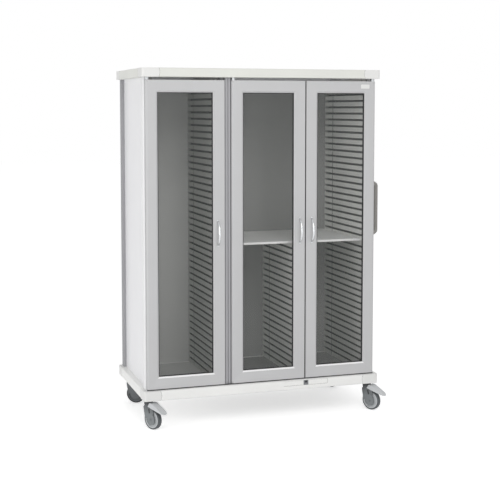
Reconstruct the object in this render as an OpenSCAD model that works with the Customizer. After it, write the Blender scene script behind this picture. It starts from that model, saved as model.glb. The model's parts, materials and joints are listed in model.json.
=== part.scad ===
// Supply cart: a three-door glazed cabinet on four swivel casters.
// Millimetres. +Z is up, the doors face -Y, and +X is to the viewer's right.
// The origin lies on the floor, in the middle of the whole outline.

/* [Cabinet] */
// Overall height from the floor to the top of the cap
total_h = 2000; // [1600:10:2200]
// Width of the cap and of the base frame
cap_w = 1405; // [1100:5:1600]
// Depth of the cap and of the base frame
cap_d = 705; // [600:5:800]
// Height of the cap's rails
cap_h = 50; // [40:1:70]
// Height of the base frame's rails
base_h = 55; // [45:1:70]
// Depth of the cap's and the base's rails, from the outer to the inner face
rail_d = 60; // [50:1:80]
// Wall thickness of the rails
rail_wall = 5; // [3:0.5:8]
// How far the cap and the base reach past the body at the sides
side_overhang = 17.5; // [10:0.5:30]
// How far the cap and the base reach past the doors at the front
front_overhang = 18; // [10:0.5:30]
// Arm length of a moulded corner piece
corner_arm = 100; // [70:1:120]
// Radius of the outer vertical edge of a corner piece
corner_r = 14; // [6:1:30]
// Radius of the curved joint between a corner piece and a rail
joint_r = 60; // [45:1:120]
// Radius along the long top and bottom edges of the rails
edge_r = 5; // [2:0.5:10]

/* [Posts and panels] */
// Width of a corner post, seen from the front
post_w = 34; // [25:1:50]
// Depth of a front corner post
post_d = 55; // [40:1:70]
// Depth of a rear corner post
rear_post_d = 48; // [40:1:70]
// Radius of the outer vertical edge of a corner post
post_r = 9; // [3:1:14]
// Distance from the cap's front plane to the front faces of the posts
post_front = 55; // [50:1:70]
// Width of the grooves in the posts
groove_w = 5; // [3:0.5:8]
// Depth of the grooves in the posts
groove_d = 3; // [1:0.5:5]
// How far the side panels lie behind the outer faces of the posts
panel_recess = 18; // [5:1:25]
// Distance from the cap's rear plane to the inner face of the back panel
back_in = 40; // [30:1:120]
// Thickness of the back panel
back_t = 8; // [4:1:15]
// Middle of the centre post, from the middle of the cabinet
centre_post_x = -210.5; // [-300:0.5:-100]
// Width of the rib of the centre post that stands between two doors
rib_w = 31; // [20:1:45]
// Distance from the cap's front plane to the face of that rib
rib_front = 27; // [20:1:50]
// Thickness of the cap's top sheet
top_sheet_t = 8; // [4:1:15]
// How far the top sheet lies below the top edge of the cap
top_sheet_drop = 4; // [0:1:10]
// Thickness of the floor panel
floor_t = 12; // [6:1:20]
// Width of the hollows under the floor panel
pocket_w = 120; // [60:5:200]
// Depth of those hollows
pocket_d = 5; // [2:0.5:8]
// Distance between two fields pressed into the side and back panels
field_gap = 50; // [30:1:80]
// Height of the border round the fields of a side panel
border_d = 8; // [3:0.5:12]
// Depth of the fields pressed into the back panel
swage_d = 3; // [1:0.5:5]

/* [Inside] */
// Top face of the fixed shelf above the floor the cart stands on
shelf_z = 1015; // [700:1:1400]
// Thickness of the fixed shelf
shelf_t = 12; // [8:1:25]
// Distance from the cap's front plane to the shelf's front edge
shelf_front = 100; // [86:1:150]
// Distance from the cap's front plane to the front ends of the tray rails
rails_front = 86; // [80:1:130]
// Pitch of the tray rails
rail_pitch = 37.6; // [30:0.1:60]
// Height of the slot between two tray rails at its mouth
slot_h = 12.5; // [8:0.5:20]
// How much the slot narrows towards its root
slot_taper = 3; // [0:0.5:5]
// How far the tray rails stand out of the wall they are moulded for
tip_in = 22; // [12:0.5:30]
// Wall thickness of the moulded tray walls
wall_t = 3; // [2:0.5:5]
// Distance from the cap's front plane to the vertical seam in the tray rails
seam_at = 538; // [300:1:600]
// Width of that seam
seam_w = 8; // [4:1:15]
// Half the thickness of the main partition without its rails
partition_half = 39; // [20:1:50]
// Half the thickness of the lower partition without its rails
divider_half = 17.5; // [10:0.5:30]
// Wall thickness of the partitions
skin_t = 4; // [2:0.5:8]

/* [Doors] */
// Gap between the base and the doors
door_gap_low = 6; // [3:1:10]
// Gap between the doors and the cap
door_gap_high = 15; // [5:1:20]
// How far the outer doors stay inside the body's sides
door_inset = 4; // [2:0.5:8]
// Gap between a door and the rib of the centre post
door_rib_gap = 4; // [3:0.5:8]
// Middle of the line where the two right doors meet
meet_x = 251; // [150:1:350]
// Gap between the two right doors
meet_gap = 6; // [4:0.5:10]
// Thickness of a door frame
door_t = 28; // [22:1:35]
// Width of the stiles and rails of a door frame, with the inner bevel
stile_w = 68; // [50:1:90]
// Wall thickness of the hollow stiles
stile_wall = 4; // [2:0.5:5]
// Width of the bevel round the glass
bevel_w = 8; // [4:0.5:14]
// Depth of that bevel
bevel_d = 6; // [3:0.5:7]
// Radius of the front edge at a door's free side
free_edge_r = 5; // [2:0.5:10]
// Thickness of the glass
glass_t = 5; // [4:0.5:8]
// How far the gasket shows inside the frame
gasket_lip = 4; // [2:0.5:8]
// How deep the glazing groove goes into the frame
glazing_d = 12; // [8:0.5:20]
// Distance from the door's face to the glazing groove
glazing_at = 8; // [7:0.5:12]
// Width of the glazing groove
glazing_w = 12; // [9:0.5:14]
// Radius of the pivot pins
pin_r = 4; // [3:0.5:6]
// Length of a pivot pin inside the door frame
pin_in = 25; // [15:1:40]
// Length of a pivot pin inside its bush, past the gap
pin_out = 14; // [10:1:20]
// Outer radius of the pivot bushes
bush_r = 9; // [7:0.5:12]
// Radius of the collar that each bush shows in the gap
bush_collar_r = 11; // [9:0.5:14]
// Running clearance of the pins in the bushes
run_fit = 0.05; // [0.02:0.01:0.1]
// Clearance between parts that move past each other
part_gap = 0.4; // [0.3:0.1:1]

/* [Handles] */
// Middle of the door handles above the floor
handle_z = 1085; // [900:1:1200]
// Overall length of a door handle
handle_l = 152; // [100:1:200]
// How far a door handle stands out of the door
handle_out = 42; // [30:1:60]
// Width of a door handle's bow
handle_w = 10; // [7:0.5:16]
// Thickness of a door handle's bow
handle_t = 7; // [5:0.5:12]
// Radius of a door handle's foot
handle_foot_r = 8; // [6:0.5:12]
// Thickness of a door handle's foot
handle_foot_t = 4; // [2:0.5:8]
// Distance from the left door's free edge to its handle
handle_in_left = 42; // [25:1:50]
// Distance from the meeting edges to the handles of the right doors
handle_in_pair = 33; // [25:1:50]
// Lower end of the push handle above the floor
push_z0 = 1014; // [900:1:1100]
// Upper end of the push handle above the floor
push_z1 = 1373; // [1200:1:1500]
// Length of the slanted part at each end of the push handle
push_slant = 32; // [20:1:60]
// How far the push handle stands out of the body's side
push_out = 50; // [40:1:80]
// Thickness of the push handle's grip, measured outwards
push_t = 22; // [16:1:30]
// Width of the push handle's grip, from front to back
push_w = 26; // [20:1:40]
// Distance from the cap's front plane to the middle of the push handle
push_at = 101; // [70:1:140]

/* [Lock] */
// Length of the shallow recess in the base's front
recess_l = 270; // [200:1:350]
// Height of that recess
recess_h = 28; // [20:1:40]
// Depth of that recess
recess_d = 4; // [2:0.5:4.5]
// Distance from the recess to the base's top face
recess_drop = 4; // [2:0.5:10]
// Side of the square lock plate
lock_plate_w = 28; // [20:1:40]
// Radius of the lock cylinder
lock_r = 6.5; // [5:0.5:9]

/* [Casters] */
// Radius of a caster's wheel
wheel_r = 57; // [50:0.5:75]
// Width of a caster's tyre
tyre_w = 26; // [20:1:40]
// Radial thickness of the tyre
tyre_t = 8; // [6:0.5:15]
// Width of the raised rim inside the tyre
rim_w = 7; // [4:0.5:10]
// Height of a caster, from the floor to the base's underside
caster_h = 166; // [150:1:190]
// Distance from the swivel axis to the wheel's axle
trail = 34; // [20:1:45]
// Distance from the cap's side plane to the swivel axis of a front caster
front_in_x = 40; // [35:1:120]
// Distance from the cap's side plane to the swivel axis of a rear caster
rear_in_x = 60; // [35:1:120]
// Distance from the cap's front or rear plane to a swivel axis
caster_in_y = 66; // [50:1:140]
// Turn of the front casters, from straight ahead to the right
front_turn = 32; // [-90:1:90]
// Turn of the left rear caster
rear_left_turn = 62; // [-90:1:90]
// Turn of the right rear caster
rear_right_turn = 28; // [-90:1:90]
// Radius of the bearing cup under the base
cup_r = 26; // [20:1:35]
// Height of that bearing cup
cup_h = 13.5; // [8:0.5:20]
// Radius of the swivel pin
swivel_pin_r = 6; // [5:0.5:8]
// Radius of the axle
axle_r = 6; // [5:0.5:8]
// Thickness of a fork leg
leg_t = 5; // [4:0.5:8]
// Radius of the round end of a fork leg
leg_r = 31; // [20:1:36]
// Width of the slot in a fork leg
leg_slot_w = 7; // [4:0.5:10]
// Length of that slot, from end to end
leg_slot_l = 30; // [15:1:36]
// Distance from the leg's middle line to the middle of that slot
leg_slot_in = 9; // [4:0.5:14]
// Radius of the fork's crown
crown_r = 24; // [20:1:30]
// Clearance between the tyre and the hood
hood_gap = 4; // [3:0.5:8]
// Thickness of the hood over the wheel
hood_t = 4; // [3:0.5:6]
// Length of a brake pedal, from the swivel axis to its tip
pedal_reach = 132; // [110:1:150]
// Width of a brake pedal
pedal_w = 46; // [36:1:60]
// Distance from a caster's middle to the inner faces of the lugs that hold the pedal
lug_in = 10; // [8:0.5:14]
// Distance from a caster's middle to the outer faces of those lugs
lug_out = 15; // [13:0.5:20]
// Radius of the pin that a brake pedal turns on
pedal_pin_r = 3; // [2:0.5:4]

/* [Hidden] */
$fn = 64;
eps = 0.01;
half_w = cap_w/2;
half_d = cap_d/2;
body_half = half_w - side_overhang;
base_z = caster_h;
base_top = base_z + base_h;
cap_z = total_h - cap_h;
post_in = body_half - post_w;
panel_out = body_half - panel_recess;
front_y = -half_d;
post_y = front_y + post_front;
rear_y = half_d - side_overhang;
back_y = half_d - back_in;
rails_y = front_y + rails_front;
ring_x = half_w - rail_d;
ring_y = half_d - rail_d;
shelf_low = shelf_z - shelf_t;
seam_y = front_y + seam_at;
part_left = centre_post_x - partition_half;
part_right = centre_post_x + partition_half;
door_y = front_y + front_overhang;
door_back = door_y + door_t;
door_z0 = base_top + door_gap_low;
door_z1 = cap_z - door_gap_high;
heel_r = door_t/2;
pivot_y = door_y + heel_r;
left_x0 = -body_half + door_inset;
left_x1 = centre_post_x - rib_w/2 - door_rib_gap;
middle_x0 = centre_post_x + rib_w/2 + door_rib_gap;
middle_x1 = meet_x - meet_gap/2;
right_x0 = meet_x + meet_gap/2;
right_x1 = body_half - door_inset;
pivot_left = left_x0 + heel_r;
pivot_middle = middle_x0 + heel_r;
pivot_right = right_x1 - heel_r;
window_in = stile_w;
recess_z1 = base_top - recess_drop;
recess_z0 = recess_z1 - recess_h;
lock_z = recess_z1 - lock_plate_w*0.32;
front_x = half_w - front_in_x;
rear_x = half_w - rear_in_x;
caster_y = half_d - caster_in_y;
stud_r = 8;
stud_h = 12;
joint_lap = joint_r/5;
pad_end = corner_arm - joint_r + sqrt(joint_r*joint_r - base_h*base_h/4) - 1;
bays = [
    [-post_in, part_left],
    [part_right, meet_x - divider_half],
    [meet_x + divider_half, post_in]
];
field_h = (cap_z - base_top - 4*field_gap)/3;
field_tiers = [
    for (i = [0 : 2])
        [base_top + field_gap + i*(field_h + field_gap), base_top + (i + 1)*(field_h + field_gap)]
];
shelf_x0 = part_right + tip_in;
shelf_x1 = post_in - tip_in;
shelf_rib = 20;
crown_top = caster_h - cup_h - part_gap;
hub_r = wheel_r - tyre_t;
hood_in = wheel_r + hood_gap;
hood_out = hood_in + hood_t;
leg_in = tyre_w/2 + 3;
leg_out = leg_in + leg_t;
pedal_pin_s = 36;
pedal_pin_z = caster_h - 27;
pin_low = caster_h - 38;
crown_z = caster_h - 54;
crown_low = caster_h - 66;
// How far the tips of the front brake pedals reach forward and to the right of the cabinet's middle
front_reach = caster_y + (pedal_reach - pedal_w/2)*cos(front_turn) + pedal_w/2;
right_reach = front_x + (pedal_reach - pedal_w/2)*sin(front_turn) + pedal_w/2;
// Shift that brings the middle of the whole outline, push handle and pedals included, onto the origin
shift_x = -(max(body_half + push_out, right_reach) - half_w)/2;
shift_y = (front_reach - half_d)/2;

white_shell = [0.89, 0.89, 0.88];
white_panel = [0.91, 0.91, 0.92];
alu_light = [0.80, 0.80, 0.81];
alu_frame = [0.75, 0.75, 0.76];
grey_wall = [0.46, 0.46, 0.46];
grey_rail = [0.50, 0.50, 0.49];
shelf_grey = [0.72, 0.72, 0.71];
rubber_dark = [0.13, 0.13, 0.14];
glass_tint = [0.62, 0.66, 0.66, 0.35];
chrome_tint = [0.84, 0.84, 0.85];
grip_dark = [0.44, 0.44, 0.42];
caster_grey = [0.53, 0.55, 0.56];
tyre_dark = [0.23, 0.24, 0.25];
pedal_grey = [0.70, 0.71, 0.72];
steel_tint = [0.62, 0.63, 0.64];

// A box given by its limits along X, Y and Z
module span(x, y, z) {
    translate([x[0], y[0], z[0]])
        cube([x[1] - x[0], y[1] - y[0], z[1] - z[0]]);
}

// Moves what it holds from the cabinet's own middle to the frame's origin
module placed() {
    translate([shift_x, shift_y, 0])
        children();
}

// Repeats what it holds at both sides
module both_sides() {
    children();
    mirror([1, 0, 0])
        children();
}

// Section of a cap or base rail, outer face at x = 0, inner side at x = rail_d
module rail_section(h) {
    difference() {
        union() {
            translate([edge_r, 0])
                square([rail_d - edge_r, h]);
            translate([0, edge_r])
                square([rail_d/2, h - 2*edge_r]);
            translate([edge_r, edge_r])
                circle(r = edge_r);
            translate([edge_r, h - edge_r])
                circle(r = edge_r);
        }
        translate([rail_wall, rail_wall])
            square([rail_d - 2*rail_wall, h - 2*rail_wall]);
    }
}

// A straight rail of the given length with its outer face at y = 0, running along X
module rail_bar(l, h) {
    translate([-l/2, 0, 0])
        rotate([90, 0, 90])
            linear_extrude(height = l)
                rail_section(h);
}

// Cutters with the round ends of the corner pieces' arms, at both ends of a side
module joint_cut(side, h) {
    both_sides()
        translate([side/2 - corner_arm + joint_r, -eps, h/2])
            rotate([-90, 0, 0])
                cylinder(r = joint_r, h = rail_d + 2*eps);
}

// The four rails of one ring, each cut back to the corner pieces
module ring_rails(h) {
    for (turn = [0, 180])
        rotate([0, 0, turn])
            translate([0, -half_d, 0])
                difference() {
                    rail_bar(cap_w - 2*corner_arm + 2*joint_lap, h);
                    joint_cut(cap_w, h);
                }
    for (turn = [90, 270])
        rotate([0, 0, turn])
            translate([0, -half_w, 0])
                difference() {
                    rail_bar(cap_d - 2*corner_arm + 2*joint_lap, h);
                    joint_cut(cap_d, h);
                }
}

// Outline of a corner piece seen from above, with its outer corner at the origin
module corner_plan() {
    difference() {
        union() {
            translate([corner_r, 0])
                square([corner_arm - corner_r, rail_d]);
            translate([0, corner_r])
                square([rail_d, corner_arm - corner_r]);
            translate([corner_r, corner_r])
                circle(r = corner_r);
        }
        translate([rail_d, rail_d])
            square([corner_arm, corner_arm]);
    }
}

// One moulded corner piece with round arm ends, outer corner at the origin
module corner_piece(h) {
    intersection() {
        linear_extrude(height = h)
            corner_plan();
        union() {
            span([-1, corner_arm - joint_r], [-1, rail_d + 1], [-1, h + 1]);
            translate([corner_arm - joint_r, -1, h/2])
                rotate([-90, 0, 0])
                    cylinder(r = joint_r, h = rail_d + 2);
            span([-1, rail_d], [rail_d - 1, corner_arm - joint_r + 1], [-1, h + 1]);
            translate([-1, corner_arm - joint_r, h/2])
                rotate([0, 90, 0])
                    cylinder(r = joint_r, h = rail_d + 1);
        }
    }
}

// What it holds, once in each corner of the ring, turned to face outwards
module four_corners() {
    for (mx = [0, 1])
        for (my = [0, 1])
            mirror([mx, 0, 0])
                mirror([0, my, 0])
                    translate([-half_w, -half_d, 0])
                        children();
}

// Repeats what it holds on the swivel axis of each caster
module at_swivels() {
    both_sides() {
        translate([front_x, -caster_y, 0])
            children();
        translate([rear_x, caster_y, 0])
            children();
    }
}

// Where the doors' pivot pins stand, for bores and bushes
module at_pivots() {
    for (x = [pivot_left, pivot_middle, pivot_right])
        translate([x, pivot_y, 0])
            children();
}

module base_rails() {
    color(white_shell)
        placed()
            difference() {
                union() {
                    translate([0, 0, base_z])
                        ring_rails(base_h);
                    translate([pivot_middle, pivot_y, base_z + 10])
                        cylinder(r = bush_r + 5, h = base_h - 10);
                    span([meet_x - 22, meet_x + 22], [front_y + rail_wall - 1, front_y + 20],
                        [recess_z0 - 4, base_top - 1]);
                }
                span([meet_x - recess_l/2, meet_x + recess_l/2],
                    [front_y - 1, front_y + recess_d], [recess_z0, recess_z1]);
                translate([pivot_middle, pivot_y, base_top - pin_out - 2])
                    cylinder(r = bush_r, h = 60);
                translate([meet_x, front_y - 1, lock_z])
                    rotate([-90, 0, 0])
                        cylinder(r = lock_r + run_fit, h = 18);
            }
}

module base_corners() {
    color(white_shell)
        placed()
            difference() {
                union() {
                    four_corners()
                        translate([0, 0, base_z])
                            corner_piece(base_h);
                    four_corners()
                        span([rail_d - 1, pad_end], [rail_d - 1, pad_end], [base_z, base_z + stud_h + 2]);
                }
                for (x = [pivot_left, pivot_right])
                    translate([x, pivot_y, base_top - pin_out - 2])
                        cylinder(r = bush_r, h = 60);
                at_swivels()
                    translate([0, 0, base_z - 1])
                        cylinder(r = stud_r, h = stud_h + 1);
            }
}

module floor_panel() {
    color(grey_wall)
        placed()
            difference() {
                span([-ring_x, ring_x], [-ring_y, ring_y], [base_top - floor_t, base_top]);
                for (bay = bays)
                    span([(bay[0] + bay[1])/2 - pocket_w/2, (bay[0] + bay[1])/2 + pocket_w/2],
                        [-ring_y + pocket_w, ring_y - pocket_w],
                        [base_top - floor_t - 1, base_top - floor_t + pocket_d]);
            }
}

module cap_rails() {
    color(white_shell)
        placed()
            difference() {
                union() {
                    translate([0, 0, cap_z])
                        ring_rails(cap_h);
                    translate([pivot_middle, pivot_y, cap_z])
                        cylinder(r = bush_r + 5, h = cap_h - rail_wall);
                }
                translate([pivot_middle, pivot_y, cap_z - 30])
                    cylinder(r = bush_r, h = 30 + pin_out + 2);
            }
}

module cap_corners() {
    color(white_shell)
        placed()
            difference() {
                four_corners()
                    translate([0, 0, cap_z])
                        corner_piece(cap_h);
                for (x = [pivot_left, pivot_right])
                    translate([x, pivot_y, cap_z - 30])
                        cylinder(r = bush_r, h = 30 + pin_out + 2);
            }
}

module cap_panel() {
    sheet_top = total_h - top_sheet_drop;
    sheet_low = sheet_top - top_sheet_t;
    color(white_shell)
        placed()
            difference() {
                span([-ring_x, ring_x], [-ring_y, ring_y], [cap_z, sheet_top]);
                span([-ring_x + 12, part_left - 2], [-ring_y + 12, ring_y - 40], [cap_z - 1, sheet_low]);
                span([part_right + 2, ring_x - 12], [-ring_y + 12, ring_y - 40], [cap_z - 1, sheet_low]);
                span([part_left + 12, part_right - 12], [-ring_y + 30, ring_y - 40],
                    [cap_z - 1, sheet_low]);
            }
}

// Section of a corner post, outer corner at the origin, w wide and d deep
module post_section(w, d) {
    difference() {
        union() {
            translate([post_r, 0])
                square([w - post_r, d]);
            translate([0, post_r])
                square([w, d - post_r]);
            translate([post_r, post_r])
                circle(r = post_r);
        }
        translate([rail_wall, rail_wall + 4])
            square([w - 2*rail_wall, d - 2*rail_wall - 4]);
        translate([-eps, d - 14])
            square([groove_d, groove_w]);
        translate([-eps, d - 26])
            square([groove_d, groove_w]);
        translate([w - 14, -eps])
            square([groove_w, groove_d]);
    }
}

module front_posts() {
    color(alu_light)
        placed()
            both_sides()
                translate([-body_half, post_y, base_top])
                    linear_extrude(height = cap_z - base_top)
                        post_section(post_w, post_d);
}

module rear_posts() {
    color(alu_light)
        placed()
            both_sides()
                translate([-body_half, rear_y, base_top])
                    mirror([0, 1, 0])
                        linear_extrude(height = cap_z - base_top)
                            post_section(post_w, rear_post_d);
}

module centre_post() {
    color(alu_light)
        placed()
            translate([centre_post_x, 0, base_top])
                linear_extrude(height = cap_z - base_top)
                    difference() {
                        union() {
                            translate([-partition_half, post_y])
                                square([2*partition_half, post_d]);
                            translate([-rib_w/2, front_y + rib_front + 2])
                                square([rib_w, post_front - rib_front]);
                            translate([-rib_w/2 + 2, front_y + rib_front])
                                square([rib_w - 4, 10]);
                        }
                        translate([-rib_w/2 + rail_wall, front_y + rib_front + 12])
                            square([rib_w - 2*rail_wall, post_front + post_d - rib_front - 24]);
                        for (x = [-partition_half + rail_wall, rib_w/2])
                            translate([x, post_y + rail_wall])
                                square([partition_half - rib_w/2 - rail_wall, post_d - 2*rail_wall]);
                        translate([-groove_w/2, front_y + rib_front - 1])
                            square([groove_w, 7]);
                    }
}

// One side panel with a shallow stiffening border on its inner face
module side_panel() {
    difference() {
        span([-panel_out, -post_in], [post_y + post_d, rear_y - rear_post_d], [base_top, cap_z]);
        for (z = field_tiers)
            span([-post_in - border_d, -post_in + 1],
                [post_y + post_d + field_gap, rear_y - rear_post_d - field_gap], z);
    }
}

module side_panel_left() {
    color(white_panel)
        placed()
            side_panel();
}

module side_panel_right() {
    color(white_panel)
        placed()
            mirror([1, 0, 0])
                side_panel();
}

module back_panel() {
    color(grey_wall)
        placed()
            difference() {
                span([-post_in, post_in], [back_y, back_y + back_t], [base_top, cap_z]);
                for (z = field_tiers)
                    for (bay = bays)
                        span([bay[0] + field_gap, bay[1] - field_gap],
                            [back_y + back_t - swage_d, back_y + back_t + 1], z);
            }
}

// A partition made of two skins on an open frame, from z0 to z1
module partition_box(x, half, y0, z0, z1) {
    difference() {
        span([x - half, x + half], [y0, back_y], [z0, z1]);
        span([x - half + skin_t, x + half - skin_t], [y0 + skin_t, back_y - skin_t], [z0 - 1, z1 + 1]);
    }
}

module main_partition() {
    color(grey_wall)
        placed()
            partition_box(centre_post_x, partition_half, post_y + post_d, base_top, cap_z);
}

module lower_partition() {
    color(grey_wall)
        placed()
            partition_box(meet_x, divider_half, rails_y, base_top, shelf_low);
}

module shelf() {
    color(shelf_grey)
        placed()
            difference() {
                span([shelf_x0, shelf_x1], [front_y + shelf_front, back_y], [shelf_low, shelf_z]);
                for (x = [[shelf_x0, meet_x - divider_half], [meet_x + divider_half, shelf_x1]])
                    span([x[0] + shelf_rib, x[1] - tip_in - shelf_rib],
                        [front_y + shelf_front + shelf_rib, back_y - shelf_rib],
                        [shelf_low - 1, shelf_low + shelf_t/2]);
            }
}

// Face of one slot of a tray wall, from its lower to its upper lip
function slot_face(z) = [
    [tip_in, z],
    [wall_t, z],
    [wall_t, z + slot_h - slot_taper],
    [tip_in, z + slot_h]
];

// Back of the same slot, from its upper to its lower lip, one wall thickness away
function slot_back(z) = [
    [tip_in - wall_t, z + slot_h + wall_t],
    [0, z + slot_h + wall_t - slot_taper],
    [0, z - wall_t],
    [tip_in - wall_t, z - wall_t]
];

// Lower lips of all slots of a tray wall that runs from z0 to z1
function slot_levels(z0, z1) = [
    for (i = [1 : floor((z1 - z0 - slot_h)/rail_pitch)])
        z0 + rail_pitch*i - slot_h
];

// Section of a tray wall: slots at a fixed pitch in a thin moulding, or filled up for its end faces
module wall_section(z0, z1, filled) {
    levels = slot_levels(z0, z1);
    front = [for (z = levels, p = slot_face(z)) p];
    back = [for (i = [len(levels) - 1 : -1 : 0], p = slot_back(levels[i])) p];
    low = [[0, z0], [tip_in, z0]];
    high = [[tip_in, z1], [0, z1]];
    hollow = concat([[0, z1 - wall_t], [tip_in - wall_t, z1 - wall_t]], back,
        [[tip_in - wall_t, z0 + wall_t], [0, z0 + wall_t]]);
    polygon(concat(low, front, high, filled ? [] : hollow));
}

// A tray wall with its back at x and its rails to the right, or to the left when flip is -1
module tray_wall(x, z0, z1, flip) {
    translate([x, 0, 0])
        scale([flip, 1, 1]) {
            for (ends = [[rails_y, rails_y + wall_t], [seam_y - seam_w/2 - wall_t, seam_y - seam_w/2],
                [seam_y + seam_w/2, seam_y + seam_w/2 + wall_t], [back_y - wall_t, back_y]])
                translate([0, ends[1], 0])
                    rotate([90, 0, 0])
                        linear_extrude(height = wall_t)
                            wall_section(z0, z1, true);
            for (run = [[rails_y, seam_y - seam_w/2], [seam_y + seam_w/2, back_y]])
                translate([0, run[1], 0])
                    rotate([90, 0, 0])
                        linear_extrude(height = run[1] - run[0])
                            wall_section(z0, z1, false);
            span([0, wall_t], [seam_y - seam_w/2 - 1, seam_y + seam_w/2 + 1], [z0, z1]);
        }
}

module rails_left_outer() {
    color(grey_rail)
        placed()
            tray_wall(-post_in, base_top, cap_z, 1);
}

module rails_left_inner() {
    color(grey_rail)
        placed()
            tray_wall(part_left, base_top, cap_z, -1);
}

module rails_upper_inner() {
    color(grey_rail)
        placed()
            tray_wall(part_right, shelf_low, cap_z, 1);
}

module rails_upper_outer() {
    color(grey_rail)
        placed()
            tray_wall(post_in, shelf_low, cap_z, -1);
}

module rails_lower_inner() {
    color(grey_rail)
        placed()
            tray_wall(part_right, base_top, shelf_low, 1);
}

module rails_lower_outer() {
    color(grey_rail)
        placed()
            tray_wall(post_in, base_top, shelf_low, -1);
}

module rails_divider_left() {
    color(grey_rail)
        placed()
            tray_wall(meet_x - divider_half, base_top, shelf_low, -1);
}

module rails_divider_right() {
    color(grey_rail)
        placed()
            tray_wall(meet_x + divider_half, base_top, shelf_low, 1);
}

// One bush with its collar towards +Z, its mouth at z = 0 and the collar reaching up by gap
module bush(gap) {
    difference() {
        union() {
            translate([0, 0, -pin_out - 2])
                cylinder(r = bush_r, h = pin_out + 2 + eps);
            cylinder(r = bush_collar_r, h = gap - part_gap);
        }
        translate([0, 0, -pin_out])
            cylinder(r = pin_r + run_fit, h = pin_out + gap + 1);
    }
}

module pivot_bushes() {
    color(steel_tint)
        placed() {
            at_pivots()
                translate([0, 0, base_top])
                    bush(door_gap_low);
            at_pivots()
                translate([0, 0, cap_z])
                    mirror([0, 0, 1])
                        bush(door_gap_high);
        }
}

module door_seals() {
    color(rubber_dark)
        placed()
            for (x = [-body_half + 10, part_left + 4, part_right - 12, body_half - 18])
                span([x, x + 8], [door_back + part_gap, post_y], [door_z0, door_z1]);
}

// Grip of the push handle, outline in X and Z with slanted ends
module push_grip() {
    x0 = body_half;
    x1 = body_half + push_out;
    color(grip_dark)
        placed()
            translate([0, front_y + push_at + push_w/2, 0])
                rotate([90, 0, 0])
                    linear_extrude(height = push_w)
                        polygon([
                            [x0 + 12, push_z0 + push_slant*0.45],
                            [x1 - 7, push_z0 + push_slant],
                            [x1, push_z0 + push_slant + 9],
                            [x1, push_z1 - push_slant - 9],
                            [x1 - 7, push_z1 - push_slant],
                            [x0 + 12, push_z1 - push_slant*0.45],
                            [x0 + 12, push_z1 - push_slant*0.45 - push_t],
                            [x1 - push_t, push_z1 - push_slant - 12],
                            [x1 - push_t, push_z0 + push_slant + 12],
                            [x0 + 12, push_z0 + push_slant*0.45 + push_t]
                        ]);
}

module push_brackets() {
    mid = front_y + push_at;
    color(grip_dark)
        placed()
            for (z = [push_z0 + push_slant*0.45, push_z1 - push_slant*0.45 - push_t]) {
                span([body_half + 4, body_half + 12], [mid - push_w/2 - 2, mid + push_w/2 + 2],
                    [z - 3, z + push_t + 3]);
                span([body_half, body_half + 4], [mid - 8, mid + 8], [z - 14, z + push_t + 14]);
            }
}

module lock_plate() {
    color(chrome_tint)
        placed()
            difference() {
                span([meet_x - lock_plate_w/2, meet_x + lock_plate_w/2],
                    [front_y + 1, front_y + recess_d], [recess_z1 - lock_plate_w, recess_z1]);
                translate([meet_x, front_y, lock_z])
                    rotate([-90, 0, 0])
                        cylinder(r = lock_r + run_fit, h = 10);
            }
}

module lock_cylinder() {
    color(rubber_dark)
        placed()
            difference() {
                translate([meet_x, front_y, lock_z])
                    rotate([-90, 0, 0])
                        cylinder(r = lock_r, h = 16);
                span([meet_x - 1, meet_x + 1], [front_y - 1, front_y + 6], [lock_z - 4, lock_z + 4]);
            }
}

// A door's outline seen from above, with a round heel at the pivot
module door_plan(x0, x1, left) {
    heel_x = left ? x0 + heel_r : x1 - heel_r;
    free_x = left ? x1 - free_edge_r : x0 + free_edge_r;
    translate([heel_x, pivot_y])
        circle(r = heel_r);
    translate([min(heel_x, free_x), door_y])
        square([abs(heel_x - free_x), door_t]);
    translate([free_x - free_edge_r, door_y + free_edge_r])
        square([2*free_edge_r, door_t - free_edge_r]);
    translate([free_x, door_y + free_edge_r])
        circle(r = free_edge_r);
}

// Bevelled mouth round the glass, widening to the door's face
module bevel_cut(x0, x1, z0, z1) {
    grow = bevel_w;
    intersection() {
        translate([0, 0, z0 - grow - 5])
            linear_extrude(height = z1 - z0 + 2*grow + 10)
                polygon([
                    [x0 - grow - 1/bevel_d*bevel_w, door_y - 1],
                    [x1 + grow + 1/bevel_d*bevel_w, door_y - 1],
                    [x1, door_y + bevel_d],
                    [x0, door_y + bevel_d]
                ]);
        translate([x0 - grow - 5, 0, 0])
            rotate([90, 0, 90])
                linear_extrude(height = x1 - x0 + 2*grow + 10)
                    polygon([
                        [door_y - 1, z0 - grow - 1/bevel_d*bevel_w],
                        [door_y - 1, z1 + grow + 1/bevel_d*bevel_w],
                        [door_y + bevel_d, z1],
                        [door_y + bevel_d, z0]
                    ]);
    }
}

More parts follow.
